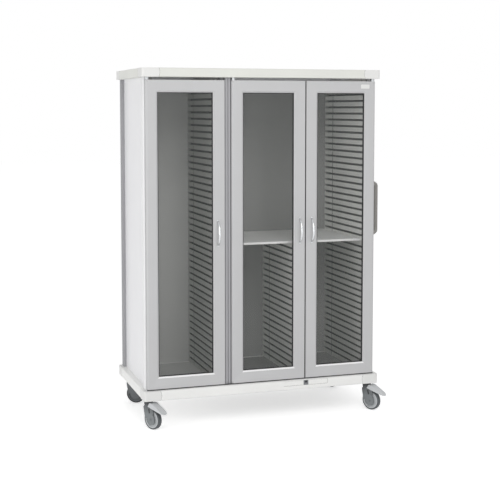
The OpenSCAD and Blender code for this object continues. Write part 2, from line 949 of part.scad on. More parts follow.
// The frame of one door with its window, bevel, glazing groove and pin bores
module door_frame(x0, x1, left) {
    pivot_x = left ? x0 + heel_r : x1 - heel_r;
    wx0 = x0 + window_in;
    wx1 = x1 - window_in;
    wz0 = door_z0 + window_in;
    wz1 = door_z1 - window_in;
    difference() {
        translate([0, 0, door_z0])
            linear_extrude(height = door_z1 - door_z0)
                door_plan(x0, x1, left);
        span([wx0, wx1], [door_y - 1, door_back + 1], [wz0, wz1]);
        bevel_cut(wx0, wx1, wz0, wz1);
        span([wx0 - glazing_d, wx1 + glazing_d],
            [door_y + glazing_at, door_y + glazing_at + glazing_w],
            [wz0 - glazing_d, wz1 + glazing_d]);
        translate([pivot_x, pivot_y, door_z0 - 1])
            cylinder(r = pin_r, h = pin_in + 1);
        translate([pivot_x, pivot_y, door_z1 - pin_in])
            cylinder(r = pin_r, h = pin_in + 1);
        for (side = [0, 1]) {
            near = (side == 0) == left ? heel_r + pin_r + stile_wall : free_edge_r + stile_wall;
            far = stile_w - glazing_d - stile_wall;
            span(side == 0 ? [x0 + near, x0 + far] : [x1 - far, x1 - near],
                [door_y + stile_wall, door_back - stile_wall], [door_z0 - 1, door_z1 + 1]);
        }
    }
}

module door_glass(x0, x1) {
    seat = glazing_d - 3;
    glass_y = door_y + glazing_at + (glazing_w - glass_t)/2;
    span([x0 + window_in - seat, x1 - window_in + seat], [glass_y, glass_y + glass_t],
        [door_z0 + window_in - seat, door_z1 - window_in + seat]);
}

module door_gasket(x0, x1) {
    y0 = door_y + glazing_at;
    difference() {
        span([x0 + window_in - glazing_d, x1 - window_in + glazing_d], [y0, y0 + glazing_w],
            [door_z0 + window_in - glazing_d, door_z1 - window_in + glazing_d]);
        span([x0 + window_in + gasket_lip, x1 - window_in - gasket_lip], [y0 - 1, y0 + glazing_w + 1],
            [door_z0 + window_in + gasket_lip, door_z1 - window_in - gasket_lip]);
        door_glass(x0, x1);
    }
}

// A bow handle: part of a ring that springs from two round feet
module door_handle(x) {
    chord = handle_l/2 - handle_foot_r;
    sag = handle_out - handle_t/2;
    bow_r = (chord*chord + sag*sag)/(2*sag);
    centre_y = door_y - sag + bow_r;
    intersection() {
        translate([x, centre_y, handle_z])
            rotate([90, 0, 90])
                rotate([0, 0, 180 - 75])
                    rotate_extrude(angle = 150)
                        translate([bow_r - handle_t/2, -handle_w/2])
                            square([handle_t, handle_w]);
        span([x - handle_w, x + handle_w], [door_y - handle_out - 1, door_y],
            [handle_z - handle_l/2, handle_z + handle_l/2]);
    }
    for (side = [-1, 1])
        translate([x, door_y, handle_z + side*(handle_l/2 - handle_foot_r)])
            rotate([90, 0, 0])
                cylinder(r = handle_foot_r, h = handle_foot_t);
}

// The two pivot pins of one door
module door_pins(pivot_x) {
    low = base_top - pin_out + 1;
    high = cap_z + pin_out - 1;
    translate([pivot_x, pivot_y, low])
        cylinder(r = pin_r, h = door_z0 + pin_in - low);
    translate([pivot_x, pivot_y, door_z1 - pin_in])
        cylinder(r = pin_r, h = high - door_z1 + pin_in);
}

module door_left_frame() {
    color(alu_frame)
        placed()
            door_frame(left_x0, left_x1, true);
}

module door_left_glass() {
    color(glass_tint)
        placed()
            door_glass(left_x0, left_x1);
}

module door_left_gasket() {
    color(rubber_dark)
        placed()
            door_gasket(left_x0, left_x1);
}

module door_left_handle() {
    color(chrome_tint)
        placed()
            door_handle(left_x1 - handle_in_left);
}

module door_left_pins() {
    color(steel_tint)
        placed()
            door_pins(pivot_left);
}

module door_middle_frame() {
    color(alu_frame)
        placed()
            door_frame(middle_x0, middle_x1, true);
}

module door_middle_glass() {
    color(glass_tint)
        placed()
            door_glass(middle_x0, middle_x1);
}

module door_middle_gasket() {
    color(rubber_dark)
        placed()
            door_gasket(middle_x0, middle_x1);
}

module door_middle_handle() {
    color(chrome_tint)
        placed()
            door_handle(middle_x1 - handle_in_pair);
}

module door_middle_pins() {
    color(steel_tint)
        placed()
            door_pins(pivot_middle);
}

module door_right_frame() {
    color(alu_frame)
        placed()
            door_frame(right_x0, right_x1, false);
}

module door_right_glass() {
    color(glass_tint)
        placed()
            door_glass(right_x0, right_x1);
}

module door_right_gasket() {
    color(rubber_dark)
        placed()
            door_gasket(right_x0, right_x1);
}

module door_right_handle() {
    color(chrome_tint)
        placed()
            door_handle(right_x0 + handle_in_pair);
}

module door_right_pins() {
    color(steel_tint)
        placed()
            door_pins(pivot_right);
}

module caster_mounts() {
    color(caster_grey)
        placed()
            at_swivels() {
                translate([0, 0, caster_h - cup_h])
                    cylinder(r = cup_r, h = cup_h);
                translate([0, 0, caster_h - eps])
                    cylinder(r = stud_r, h = stud_h);
                translate([0, 0, pin_low])
                    cylinder(r = swivel_pin_r, h = caster_h - pin_low - cup_h/2);
            }
}

// Puts what it holds, drawn with +X as the trail direction, under one caster
module at_caster(sx, sy, turn) {
    placed()
        translate([sx*(sy < 0 ? front_x : rear_x), sy*caster_y, 0])
            rotate([0, 0, turn - 90])
                children();
}

// Side view of a fork leg, in X along the trail and Y up
module leg_plan() {
    drop = [trail, wheel_r - crown_z];
    along = drop/norm(drop);
    side = [-along[1], along[0]];
    top_half = side*crown_r*0.86;
    low_half = side*leg_r*0.86;
    axle_at = [trail, wheel_r];
    slot_at = [0, crown_z] + side*leg_slot_in + along*leg_slot_w;
    slot_run = along*(leg_slot_l - leg_slot_w);
    difference() {
        union() {
            polygon([
                [0, crown_z] + top_half,
                axle_at + low_half,
                axle_at - low_half,
                [0, crown_z] - top_half
            ]);
            translate(axle_at)
                circle(r = leg_r);
            translate([0, crown_z])
                circle(r = crown_r);
        }
        polygon([
            slot_at + side*leg_slot_w/2,
            slot_at + slot_run + side*leg_slot_w/2,
            slot_at + slot_run - side*leg_slot_w/2,
            slot_at - side*leg_slot_w/2
        ]);
        for (end = [slot_at, slot_at + slot_run])
            translate(end)
                circle(d = leg_slot_w, $fn = 24);
    }
}

// A caster's fork: crown, hood, two legs and the axle in one moulding
module fork(with_pedal) {
    hood_half = leg_out - 0.8;
    lug_low = wheel_r + hood_out - 12;
    difference() {
        union() {
            translate([0, 0, crown_low])
                cylinder(r = crown_r, h = crown_top - crown_low);
            intersection() {
                translate([trail, hood_half, wheel_r])
                    rotate([90, 0, 0])
                        cylinder(r = hood_out, h = 2*hood_half);
                translate([0, hood_half + 1, 0])
                    rotate([90, 0, 0])
                        linear_extrude(height = 2*hood_half + 2)
                            polygon([
                                [trail, wheel_r],
                                [trail + 40, wheel_r + 75],
                                [trail + 40, wheel_r + 93],
                                [trail - 90, wheel_r + 93],
                                [trail - 90, wheel_r + 5]
                            ]);
            }
            for (side = [-1, 1])
                translate([0, side*leg_in + (side > 0 ? leg_t : 0), 0])
                    rotate([90, 0, 0])
                        linear_extrude(height = leg_t)
                            leg_plan();
            if (with_pedal)
                for (side = [-1, 1])
                    span([12, pedal_pin_s + 7], side > 0 ? [lug_in, lug_out] : [-lug_out, -lug_in],
                        [lug_low, pedal_pin_z + 8]);
        }
        translate([trail, leg_in, wheel_r])
            rotate([90, 0, 0])
                cylinder(r = hood_in, h = 2*leg_in);
        translate([0, 0, pin_low - 2])
            cylinder(r = swivel_pin_r + run_fit, h = 60);
        if (with_pedal)
            span([crown_r - 8, 70], [-lug_in, lug_in], [hood_out + wheel_r + 1, 200]);
    }
    translate([trail, leg_out + 1.5, wheel_r])
        rotate([90, 0, 0])
            cylinder(r = axle_r, h = 2*leg_out + 3);
    if (with_pedal)
        translate([pedal_pin_s, lug_out - 1, pedal_pin_z])
            rotate([90, 0, 0])
                cylinder(r = pedal_pin_r, h = 2*lug_out - 2);
}

// A wheel's hub with a dished side and a raised rim, turned about the axle
module hub() {
    half = tyre_w/2;
    translate([trail, 0, wheel_r])
        rotate([90, 0, 0])
            rotate_extrude()
                polygon([
                    [axle_r + run_fit, -half - 1],
                    [14, -half - 1],
                    [14, -half + 4],
                    [hub_r - rim_w - 4, -half + 4],
                    [hub_r - rim_w - 3, -half + 6],
                    [hub_r - rim_w, -half + 6],
                    [hub_r - rim_w, -half + 1],
                    [hub_r - 2, -half],
                    [hub_r, -half + 1],
                    [hub_r, half - 1],
                    [hub_r - 2, half],
                    [hub_r - rim_w, half - 1],
                    [hub_r - rim_w, half - 6],
                    [hub_r - rim_w - 3, half - 6],
                    [hub_r - rim_w - 4, half - 4],
                    [14, half - 4],
                    [14, half + 1],
                    [axle_r + run_fit, half + 1]
                ]);
}

module tyre() {
    half = tyre_w/2;
    round_r = tyre_t/2;
    translate([trail, 0, wheel_r])
        rotate([90, 0, 0])
            rotate_extrude() {
                translate([hub_r, -half])
                    square([tyre_t - round_r, tyre_w]);
                translate([hub_r, -half + round_r])
                    square([tyre_t, tyre_w - 2*round_r]);
                translate([wheel_r - round_r, -half + round_r])
                    circle(r = round_r);
                translate([wheel_r - round_r, half - round_r])
                    circle(r = round_r);
            }
}

// A brake pedal: a curved plate with a round tip, on a barrel between the fork's lugs
module pedal() {
    difference() {
        union() {
            intersection() {
                translate([0, pedal_w/2, 0])
                    rotate([90, 0, 0])
                        linear_extrude(height = pedal_w)
                            translate([0, pedal_pin_z])
                                polygon([
                                    [pedal_pin_s + 9, 11],
                                    [60, 10],
                                    [82, 2],
                                    [104, -10],
                                    [pedal_reach - 8, -25],
                                    [pedal_reach, -33],
                                    [pedal_reach - 2, -37],
                                    [pedal_reach - 14, -33],
                                    [100, -20],
                                    [80, -8],
                                    [62, 0],
                                    [pedal_pin_s + 9, 2]
                                ]);
                union() {
                    span([0, pedal_reach - pedal_w/2], [-pedal_w/2, pedal_w/2],
                        [pedal_pin_z - 49, pedal_pin_z + 21]);
                    translate([pedal_reach - pedal_w/2, 0, pedal_pin_z - 49])
                        cylinder(r = pedal_w/2, h = 70);
                }
            }
            span([pedal_pin_s, pedal_pin_s + 12], [-9.5, 9.5], [pedal_pin_z, pedal_pin_z + 11]);
            translate([pedal_pin_s, 9.5, pedal_pin_z])
                rotate([90, 0, 0])
                    cylinder(r = 7, h = 19);
        }
        translate([pedal_pin_s, 12, pedal_pin_z])
            rotate([90, 0, 0])
                cylinder(r = pedal_pin_r + run_fit, h = 24);
    }
}

module fork_fl() {
    color(caster_grey)
        at_caster(-1, -1, front_turn)
            fork(true);
}

module hub_fl() {
    color(caster_grey)
        at_caster(-1, -1, front_turn)
            hub();
}

module tyre_fl() {
    color(tyre_dark)
        at_caster(-1, -1, front_turn)
            tyre();
}

module pedal_fl() {
    color(pedal_grey)
        at_caster(-1, -1, front_turn)
            pedal();
}

module fork_fr() {
    color(caster_grey)
        at_caster(1, -1, front_turn)
            fork(true);
}

module hub_fr() {
    color(caster_grey)
        at_caster(1, -1, front_turn)
            hub();
}

module tyre_fr() {
    color(tyre_dark)
        at_caster(1, -1, front_turn)
            tyre();
}

module pedal_fr() {
    color(pedal_grey)
        at_caster(1, -1, front_turn)
            pedal();
}

module fork_rl() {
    color(caster_grey)
        at_caster(-1, 1, rear_left_turn)
            fork(false);
}

module hub_rl() {
    color(caster_grey)
        at_caster(-1, 1, rear_left_turn)
            hub();
}

module tyre_rl() {
    color(tyre_dark)
        at_caster(-1, 1, rear_left_turn)
            tyre();
}

module fork_rr() {
    color(caster_grey)
        at_caster(1, 1, rear_right_turn)
            fork(false);
}

module hub_rr() {
    color(caster_grey)
        at_caster(1, 1, rear_right_turn)
            hub();
}

module tyre_rr() {
    color(tyre_dark)
        at_caster(1, 1, rear_right_turn)
            tyre();
}

base_rails();
base_corners();
floor_panel();
cap_rails();
cap_corners();
cap_panel();
front_posts();
rear_posts();
centre_post();
side_panel_left();
side_panel_right();
back_panel();
main_partition();
lower_partition();
shelf();
rails_left_outer();
rails_left_inner();
rails_upper_inner();
rails_upper_outer();
rails_lower_inner();
rails_lower_outer();
rails_divider_left();
rails_divider_right();
pivot_bushes();
door_seals();
push_grip();
push_brackets();
lock_plate();
lock_cylinder();
door_left_frame();
door_left_glass();
door_left_gasket();
door_left_handle();
door_left_pins();
door_middle_frame();
door_middle_glass();
door_middle_gasket();
door_middle_handle();
door_middle_pins();
door_right_frame();
door_right_glass();
door_right_gasket();
door_right_handle();
door_right_pins();
caster_mounts();
fork_fl();
hub_fl();
tyre_fl();
pedal_fl();
fork_fr();
hub_fr();
tyre_fr();
pedal_fr();
fork_rl();
hub_rl();
tyre_rl();
fork_rr();
hub_rr();
tyre_rr();
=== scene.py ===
"""Supply cart: a glazed cabinet with three doors on four swivel casters.

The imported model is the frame. The classes below build each sub-assembly round it, from the shell
and the doors to the casters, and give every surface its finish. Lengths in the fields are in
millimetres unless a comment says otherwise, and meshes are in metres.
"""

import json
import logging
import math
from collections.abc import Callable, Iterator
from contextlib import contextmanager
from dataclasses import dataclass, field
from enum import Enum
from typing import Any

import bmesh
import bpy
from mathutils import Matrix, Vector


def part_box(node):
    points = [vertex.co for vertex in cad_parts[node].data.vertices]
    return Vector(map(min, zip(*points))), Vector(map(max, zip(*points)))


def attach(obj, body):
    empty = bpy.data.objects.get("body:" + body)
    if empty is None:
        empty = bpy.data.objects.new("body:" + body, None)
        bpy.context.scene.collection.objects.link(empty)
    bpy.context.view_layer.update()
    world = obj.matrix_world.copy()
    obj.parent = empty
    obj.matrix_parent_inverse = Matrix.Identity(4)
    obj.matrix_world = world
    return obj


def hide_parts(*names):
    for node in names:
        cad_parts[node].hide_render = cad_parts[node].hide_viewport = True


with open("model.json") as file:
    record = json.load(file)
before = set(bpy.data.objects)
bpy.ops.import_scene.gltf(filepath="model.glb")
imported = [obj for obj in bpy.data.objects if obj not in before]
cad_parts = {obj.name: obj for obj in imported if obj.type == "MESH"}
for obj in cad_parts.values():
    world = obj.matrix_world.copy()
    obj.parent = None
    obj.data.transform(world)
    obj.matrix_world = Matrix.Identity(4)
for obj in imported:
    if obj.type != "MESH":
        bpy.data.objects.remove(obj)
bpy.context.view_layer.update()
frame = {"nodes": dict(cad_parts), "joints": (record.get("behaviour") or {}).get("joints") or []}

LOG = logging.getLogger("supply_cart")
# One millimetre, and the distance under which two corners are one, in metres
MM = 0.001
WELD = 0.00001
# Bends under the first angle are shaded smooth, bends over the second are rounded, and faces
# that bend by less than the third count as one flat
SMOOTH_UNDER = math.radians(35)
ROUND_OVER = math.radians(28)
COPLANAR = math.radians(0.4)
# Least cosine between a direction and the normal of a face that looks along it
FACING = 0.9


# Places

def corners(node: str) -> tuple[Vector, Vector]:
    """Returns the lowest and highest corner of a CAD node, in metres."""
    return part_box(node)


def middle(node: str) -> Vector:
    """Returns the middle of a CAD node's box, in metres."""
    return sum(corners(node), Vector()) / 2


CABINET = middle("cap_rails")


def at(x: float, y: float, z: float) -> Vector:
    """Returns a point given in millimetres from the cabinet's own middle, as a place in metres.

    Args:
        x: Distance to the right of the cabinet's middle.
        y: Distance behind the cabinet's middle.
        z: Height above the floor.

    Returns:
        The same point in the shared frame.
    """
    return Vector((CABINET.x + x * MM, CABINET.y + y * MM, z * MM))


# Mesh work

class Part(Enum):
    """The parts of a mesh that are picked in edit mode."""

    EDGE = "EDGE"
    FACE = "FACE"


def alone(piece: bpy.types.Object) -> None:
    """Makes one piece the only selected one, in object mode.

    Args:
        piece: The piece to select.
    """
    if bpy.context.mode != "OBJECT":
        bpy.ops.object.mode_set(mode="OBJECT")
    bpy.ops.object.select_all(action="DESELECT")
    piece.select_set(True)
    bpy.context.view_layer.objects.active = piece


@contextmanager
def shaping(piece: bpy.types.Object) -> Iterator[None]:
    """Opens a piece in edit mode with nothing selected, and closes it afterwards.

    Args:
        piece: The piece to open.

    Yields:
        Nothing, while the piece is open.
    """
    alone(piece)
    bpy.ops.object.mode_set(mode="EDIT")
    bpy.ops.mesh.select_all(action="DESELECT")
    yield
    bpy.ops.object.mode_set(mode="OBJECT")


def pick(piece: bpy.types.Object, kind: Part, test: Callable[[Any], bool]) -> None:
    """Selects the edges or faces that pass a test, in edit mode.

    Args:
        piece: The piece that is open in edit mode.
        kind: Whether edges or faces are selected.
        test: Says whether a part of the mesh is selected.
    """
    bpy.ops.mesh.select_mode(type=kind.value)
    bpy.ops.mesh.select_all(action="DESELECT")
    mesh = bmesh.from_edit_mesh(piece.data)
    for part in mesh.edges if kind is Part.EDGE else mesh.faces:
        if test(part):
            part.select_set(True)
    bmesh.update_edit_mesh(piece.data)


def reach_of(edge: Any) -> Vector:
    """Returns the step from one end of an edge to the other, in metres."""
    return edge.verts[0].co - edge.verts[1].co


def settle(name: str) -> bpy.types.Object:
    """Names the new active object and puts its place and turn into its mesh.

    Args:
        name: Name of the piece.

    Returns:
        The piece, with its object at the origin.
    """
    piece = bpy.context.active_object
    piece.name = name
    piece.data.name = name
    alone(piece)
    bpy.ops.object.transform_apply(location=True, rotation=True, scale=True)
    return piece


def block(name: str, low: Vector, high: Vector) -> bpy.types.Object:
    """Returns a new box between two corners.

    Args:
        name: Name of the piece.
        low: Its lowest corner, in metres.
        high: Its highest corner, in metres.

    Returns:
        The box, as a mesh piece.
    """
    bpy.ops.object.select_all(action="DESELECT")
    bpy.ops.mesh.primitive_cube_add(size=1, location=(low + high) / 2, scale=high - low)
    return settle(name)


def bar(name: str, centre: Vector, axis: Vector, radius: float, depth: float,
        sides: int = 40) -> bpy.types.Object:
    """Returns a new round bar.

    Args:
        name: Name of the piece.
        centre: Middle of the bar.
        axis: Direction of the bar.
        radius: Radius in millimetres.
        depth: Length in millimetres.
        sides: How many flats stand for the round.

    Returns:
        The bar, as a mesh piece.
    """
    bpy.ops.object.select_all(action="DESELECT")
    bpy.ops.mesh.primitive_cylinder_add(
        vertices=sides, radius=radius * MM, depth=depth * MM, location=centre,
        rotation=axis.to_track_quat("Z", "Y").to_euler())
    return settle(name)


def soften(piece: bpy.types.Object, width: float, segments: int = 2,
           clamp: bool = False) -> bpy.types.Object:
    """Rounds the sharp edges of a piece and shades it smooth between them.

    Args:
        piece: The piece to finish.
        width: Width of the rounding in millimetres.
        segments: Steps across the rounding.
        clamp: Keeps the rounding clear of the next edge.

    Returns:
        The same piece.
    """
    rounding = piece.modifiers.new("rounding", "BEVEL")
    rounding.width = width * MM
    rounding.segments = segments
    rounding.limit_method = "ANGLE"
    rounding.angle_limit = ROUND_OVER
    rounding.use_clamp_overlap = clamp
    alone(piece)
    bpy.ops.object.modifier_apply(modifier=rounding.name)
    bpy.ops.object.shade_smooth_by_angle(angle=SMOOTH_UNDER)
    return even_flats(piece)


def even_flats(piece: bpy.types.Object) -> bpy.types.Object:
    """Keeps the large faces of a smooth piece flat, so that only its roundings shade off.

    Args:
        piece: The piece to finish.

    Returns:
        The same piece.
    """
    evening = piece.modifiers.new("even_flats", "WEIGHTED_NORMAL")
    evening.keep_sharp = True
    evening.weight = 100
    alone(piece)
    bpy.ops.object.modifier_apply(modifier=evening.name)
    return piece


def recast(node: str, name: str, width: float) -> bpy.types.Object:
    """Returns a copy of a CAD node with its triangles merged and its edges rounded.

    Args:
        node: The CAD node that is copied.
        name: Name of the new piece.
        width: Width of the rounding in millimetres, or 0 for none.

    Returns:
        The new piece.
    """
    piece = bpy.data.objects.new(name, frame["nodes"][node].data.copy())
    bpy.context.scene.collection.objects.link(piece)
    piece.data.name = name
    with shaping(piece):
        bpy.ops.mesh.select_all(action="SELECT")
        bpy.ops.mesh.remove_doubles(threshold=WELD)
        bpy.ops.mesh.dissolve_limited(angle_limit=COPLANAR)
    return soften(piece, width) if width else piece


def slice_off(piece: bpy.types.Object, point: Vector, outwards: Vector) -> None:
    """Cuts off what lies past a plane and closes the cut.

    Args:
        piece: The piece to cut.
        point: A point on the plane.
        outwards: The plane's normal, towards what is cut off.
    """
    with shaping(piece):
        bpy.ops.mesh.select_all(action="SELECT")
        bpy.ops.mesh.bisect(plane_co=point, plane_no=outwards, use_fill=True, clear_outer=True)


def thicken(piece: bpy.types.Object, width: float, offset: float = 0,
            even: bool = False) -> None:
    """Gives an open sheet its wall.

    Args:
        piece: The sheet.
        width: Thickness of the wall in millimetres.
        offset: 0 centres the wall on the sheet, and -1 puts it behind the sheet's faces.
        even: Keeps the thickness the same past sharp bends.
    """
    wall = piece.modifiers.new("wall", "SOLIDIFY")
    wall.thickness = width * MM
    wall.offset = offset
    wall.use_even_offset = even
    alone(piece)
    bpy.ops.object.modifier_apply(modifier=wall.name)


def open_up(piece: bpy.types.Object, axis: Vector, width: float) -> None:
    """Turns a flat piece into a frame with an opening through it.

    Args:
        piece: The flat piece.
        axis: Direction of the opening.
        width: Width of the frame in millimetres.
    """
    with shaping(piece):
        pick(piece, Part.FACE, lambda f: abs(f.normal.dot(axis)) > FACING)
        bpy.ops.mesh.inset(thickness=width * MM)
        bpy.ops.mesh.bridge_edge_loops()


def close_ends(piece: bpy.types.Object) -> None:
    """Closes the ends of a swept piece, turns its faces outwards and shades it smooth.

    Args:
        piece: The swept piece.
    """
    with shaping(piece):
        pick(piece, Part.EDGE, lambda e: e.is_boundary)
        bpy.ops.mesh.edge_face_add()
        bpy.ops.mesh.select_all(action="SELECT")
        bpy.ops.mesh.normals_make_consistent(inside=False)
    alone(piece)
    bpy.ops.object.shade_smooth_by_angle(angle=SMOOTH_UNDER)


def twin(piece: bpy.types.Object, name: str, move: Vector) -> bpy.types.Object:
    """Returns a copy of a piece with its own mesh.

    Args:
        piece: The piece that is copied.
        name: Name of the copy.
        move: How far the copy is moved, in metres.

    Returns:
        The copy.
    """
    copy = bpy.data.objects.new(name, piece.data.copy())
    bpy.context.scene.collection.objects.link(copy)
    alone(copy)
    bpy.ops.transform.translate(value=move)
    bpy.ops.object.transform_apply(location=True, rotation=False, scale=False)
    return copy


def joined(pieces: list[bpy.types.Object], name: str) -> bpy.types.Object:
    """Joins pieces into one and names it.

    Args:
        pieces: The pieces, of which the first takes in the others.
        name: Name of the whole.

    Returns:
        The whole.
    """
    alone(pieces[0])
    for piece in pieces[1:]:
        piece.select_set(True)
    bpy.ops.object.join()
    whole = bpy.context.active_object
    whole.name = name
    whole.data.name = name
    return whole


# Finishes

def tint(code: str) -> tuple[float, float, float, float]:
    """Turns an sRGB hex colour into the linear one that a shader takes.

    Args:
        code: The colour, such as #E8E8E6.

    Returns:
        Red, green, blue and opacity in linear values.
    """
    parts = [int(code[i:i + 2], 16) / 255 for i in (1, 3, 5)]
    linear = [p / 12.92 if p <= 0.04045 else ((p + 0.055) / 1.055) ** 2.4 for p in parts]
    return linear[0], linear[1], linear[2], 1.0


def shade_of(code: str, factor: float) -> tuple[float, float, float, float]:
    """Returns a hex colour in linear values, made lighter or darker by a factor."""
    colour = tint(code)
    return (*(min(1.0, part * factor) for part in colour[:3]), 1.0)


def add_node(tree: bpy.types.NodeTree, kind: str, settings: dict[Any, Any] | None = None,
             links: dict[Any, bpy.types.NodeSocket] | None = None) -> bpy.types.Node:
    """Adds a node with its settings and links.

    Args:
        tree: The node tree that the node joins.
        kind: The node's type name.
        settings: Values by input name or index, or by property name.
        links: Sockets by the input name or index that they feed.

    Returns:
        The new node.
    """
    node = tree.nodes.new(kind)
    for key, value in (settings or {}).items():
        if isinstance(key, int) or key in node.inputs:
            node.inputs[key].default_value = value
        else:
            setattr(node, key, value)
    for key, socket in (links or {}).items():
        tree.links.new(socket, node.inputs[key])
    return node


# How many times longer than wide a die line of drawn aluminium is
DIE_LINE_LENGTH = 160


class Grain(Enum):
    """How a surface was made, which sets the shape of its fine pattern."""

    MOULDED = "moulded"
    SPRAYED = "sprayed"
    DRAWN_X = "drawn along X"
    DRAWN_Z = "drawn along Z"
    POLISHED = "polished"


@dataclass(frozen=True)
class Finish:
    """A surface with its colour, gloss and fine pattern.

    Args:
        label: Name of the material.
        colour: sRGB hex colour.
        grain: How the surface was made.
        grain_mm: Size of the pattern in millimetres.
        rough: Roughness of the surface.
        spread: How much the roughness varies.
        mottle: How much the colour varies.
        relief_mm: Height of the pattern in millimetres.
        metal: Share of bare metal.
        clear: Opacity, which is 1 on all but glass.
        sheen: Share of a soft sheen.
        hollow_shade: How much painted shade darkens the colour in narrow hollows.
        fade: Axis of a painted shade, where it starts and ends in metres, and its factor.
    """

    label: str
    colour: str
    grain: Grain
    grain_mm: float
    rough: float
    spread: float = 0.05
    mottle: float = 0.03
    relief_mm: float = 0.05
    metal: float = 0.0
    clear: float = 1.0
    sheen: float = 0.0
    hollow_shade: float = 0.0
    fade: tuple[str, float, float, float] | None = None

    def stretch(self) -> tuple[float, float, float]:
        """Works out the pattern's scale from its size in millimetres.

        Returns:
            The scale along X, Y and Z, per metre.
        """
        across = 1 / (self.grain_mm * MM)
        along = across / DIE_LINE_LENGTH
        if self.grain is Grain.DRAWN_X:
            return along, across, across
        if self.grain is Grain.DRAWN_Z:
            return across, across, along
        return across, across, across

    def material(self) -> bpy.types.Material:
        """Makes the finish's material, once.

        Returns:
            The material.
        """
        found = bpy.data.materials.get(self.label)
        if found:
            return found
        made = bpy.data.materials.new(self.label)
        made.use_nodes = True
        tree = made.node_tree
        shader = tree.nodes["Principled BSDF"]
        shader.inputs["Metallic"].default_value = self.metal
        shader.inputs["Sheen Weight"].default_value = self.sheen
        shader.inputs["Alpha"].default_value = self.clear
        place = add_node(tree, "ShaderNodeTexCoord")
        fine_place = add_node(tree, "ShaderNodeMapping", {"Scale": self.stretch()},
                              {"Vector": place.outputs["Object"]})
        fine = add_node(tree, "ShaderNodeTexNoise",
                        {"Scale": 1.0, "Detail": 3.0, "Roughness": 0.55},
                        {"Vector": fine_place.outputs["Vector"]})
        broad = add_node(tree, "ShaderNodeTexNoise", {"Scale": 5.0, "Detail": 2.0},
                         {"Vector": place.outputs["Object"]})
        both = add_node(tree, "ShaderNodeMath", {"operation": "MULTIPLY_ADD", 1: 0.5},
                        {0: fine.outputs["Fac"], 2: broad.outputs["Fac"]})
        share = add_node(tree, "ShaderNodeMapRange", {"From Min": 0.45, "From Max": 1.05},
                         {"Value": both.outputs["Value"]})
        paint = add_node(tree, "ShaderNodeMix",
                         {"data_type": "RGBA", 6: shade_of(self.colour, 1 - self.mottle),
                          7: shade_of(self.colour, 1 + self.mottle)},
                         {0: share.outputs["Result"]})
        gloss = add_node(tree, "ShaderNodeMapRange",
                         {"From Min": 0.3, "From Max": 0.7,
                          "To Min": max(0.02, self.rough - self.spread),
                          "To Max": min(1.0, self.rough + self.spread)},
                         {"Value": fine.outputs["Fac"]})
        relief = add_node(tree, "ShaderNodeBump",
                          {"Strength": 0.6, "Distance": self.relief_mm * MM},
                          {"Height": fine.outputs["Fac"]})
        tree.links.new(self.toned(tree, paint.outputs[2], place.outputs["Object"]),
                       shader.inputs["Base Color"])
        tree.links.new(gloss.outputs["Result"], shader.inputs["Roughness"])
        if self.grain is not Grain.POLISHED:
            tree.links.new(relief.outputs["Normal"], shader.inputs["Normal"])
        return made

    def toned(self, tree: bpy.types.NodeTree, colour: bpy.types.NodeSocket,
              place: bpy.types.NodeSocket) -> bpy.types.NodeSocket:
        """Paints shade into a colour, in hollows and along an axis, where the finish asks for it.

        Args:
            tree: The node tree that the nodes join.
            colour: The colour before the change.
            place: The coordinates on the piece.

        Returns:
            The changed colour.
        """
        levels = []
        # Painted shade in narrow hollows, from how shut in each point is
        if self.hollow_shade:
            hollow = add_node(tree, "ShaderNodeAmbientOcclusion",
                              {"Distance": 0.03, "samples": 8, "only_local": True})
            levels.append(add_node(tree, "ShaderNodeMapRange",
                                   {"From Min": 0.25, "From Max": 0.85,
                                    "To Min": 1 - self.hollow_shade, "To Max": 1.0},
                                   {"Value": hollow.outputs["AO"]}))
        # Painted shade that grows along an axis
        if self.fade:
            axis, start, end, factor = self.fade
            along = add_node(tree, "ShaderNodeSeparateXYZ", links={0: place})
            levels.append(add_node(tree, "ShaderNodeMapRange",
                                   {"From Min": start, "From Max": end, "To Max": factor,
                                    "To Min": 1.0}, {"Value": along.outputs[axis]}))
        for level in levels:
            colour = add_node(tree, "ShaderNodeVectorMath", {"operation": "SCALE"},
                              {0: colour, "Scale": level.outputs["Result"]}).outputs[0]
        return colour


# The real pebbles, orange peel, die lines and brush marks measure a few tenths of a millimetre.
# The render can't show that, so they are drawn several times as coarse.

# Injection-moulded ABS: even white with a faint pebble that breaks up the highlight
MOULDED_WHITE = Finish("moulded_white_abs", "#E8E8E6", Grain.MOULDED, 2.4, 0.42, relief_mm=0.03)
# Powder-coated profile: white with the slight orange peel of a sprayed coat
COATED_WHITE = Finish("powder_coated_white", "#F4F4F2", Grain.SPRAYED, 5.0, 0.38, relief_mm=0.03)
# The cap's warmer coat: off-white with the same orange peel
CAP_WHITE = Finish("powder_coated_off_white", "#E3E4DE", Grain.SPRAYED, 5.0, 0.38, relief_mm=0.03)
# Laminated board: smooth cool white that shows a soft, wide highlight
LAMINATE_WHITE = Finish("white_laminate", "#F2F2F4", Grain.SPRAYED, 7.0, 0.35, mottle=0.015,
                        relief_mm=0.02)
# Anodised aluminium extrusion: satin grey with faint die lines along its length
ANODISED_POST = Finish("anodised_aluminium_post", "#A4A4A7", Grain.DRAWN_Z, 1.6, 0.5,
                       mottle=0.04, relief_mm=0.02, metal=0.2)
# The front posts: nearly white, with the same satin lines
ANODISED_FRONT = Finish("bright_anodised_aluminium", "#F2F2F3", Grain.DRAWN_Z, 1.6, 0.45,
                        mottle=0.03, relief_mm=0.02, metal=0.1)
# The doors' upright members: even satin grey that hardly mirrors
ANODISED_STILE = Finish("anodised_aluminium_stile", "#C5C5C6", Grain.DRAWN_Z, 1.4, 0.6,
                        mottle=0.02, relief_mm=0.01, metal=0.05)
# The doors' cross members, whose die lines run across
ANODISED_RAIL = Finish("anodised_aluminium_rail", "#C5C5C6", Grain.DRAWN_X, 1.4, 0.6,
                       mottle=0.02, relief_mm=0.01, metal=0.05)
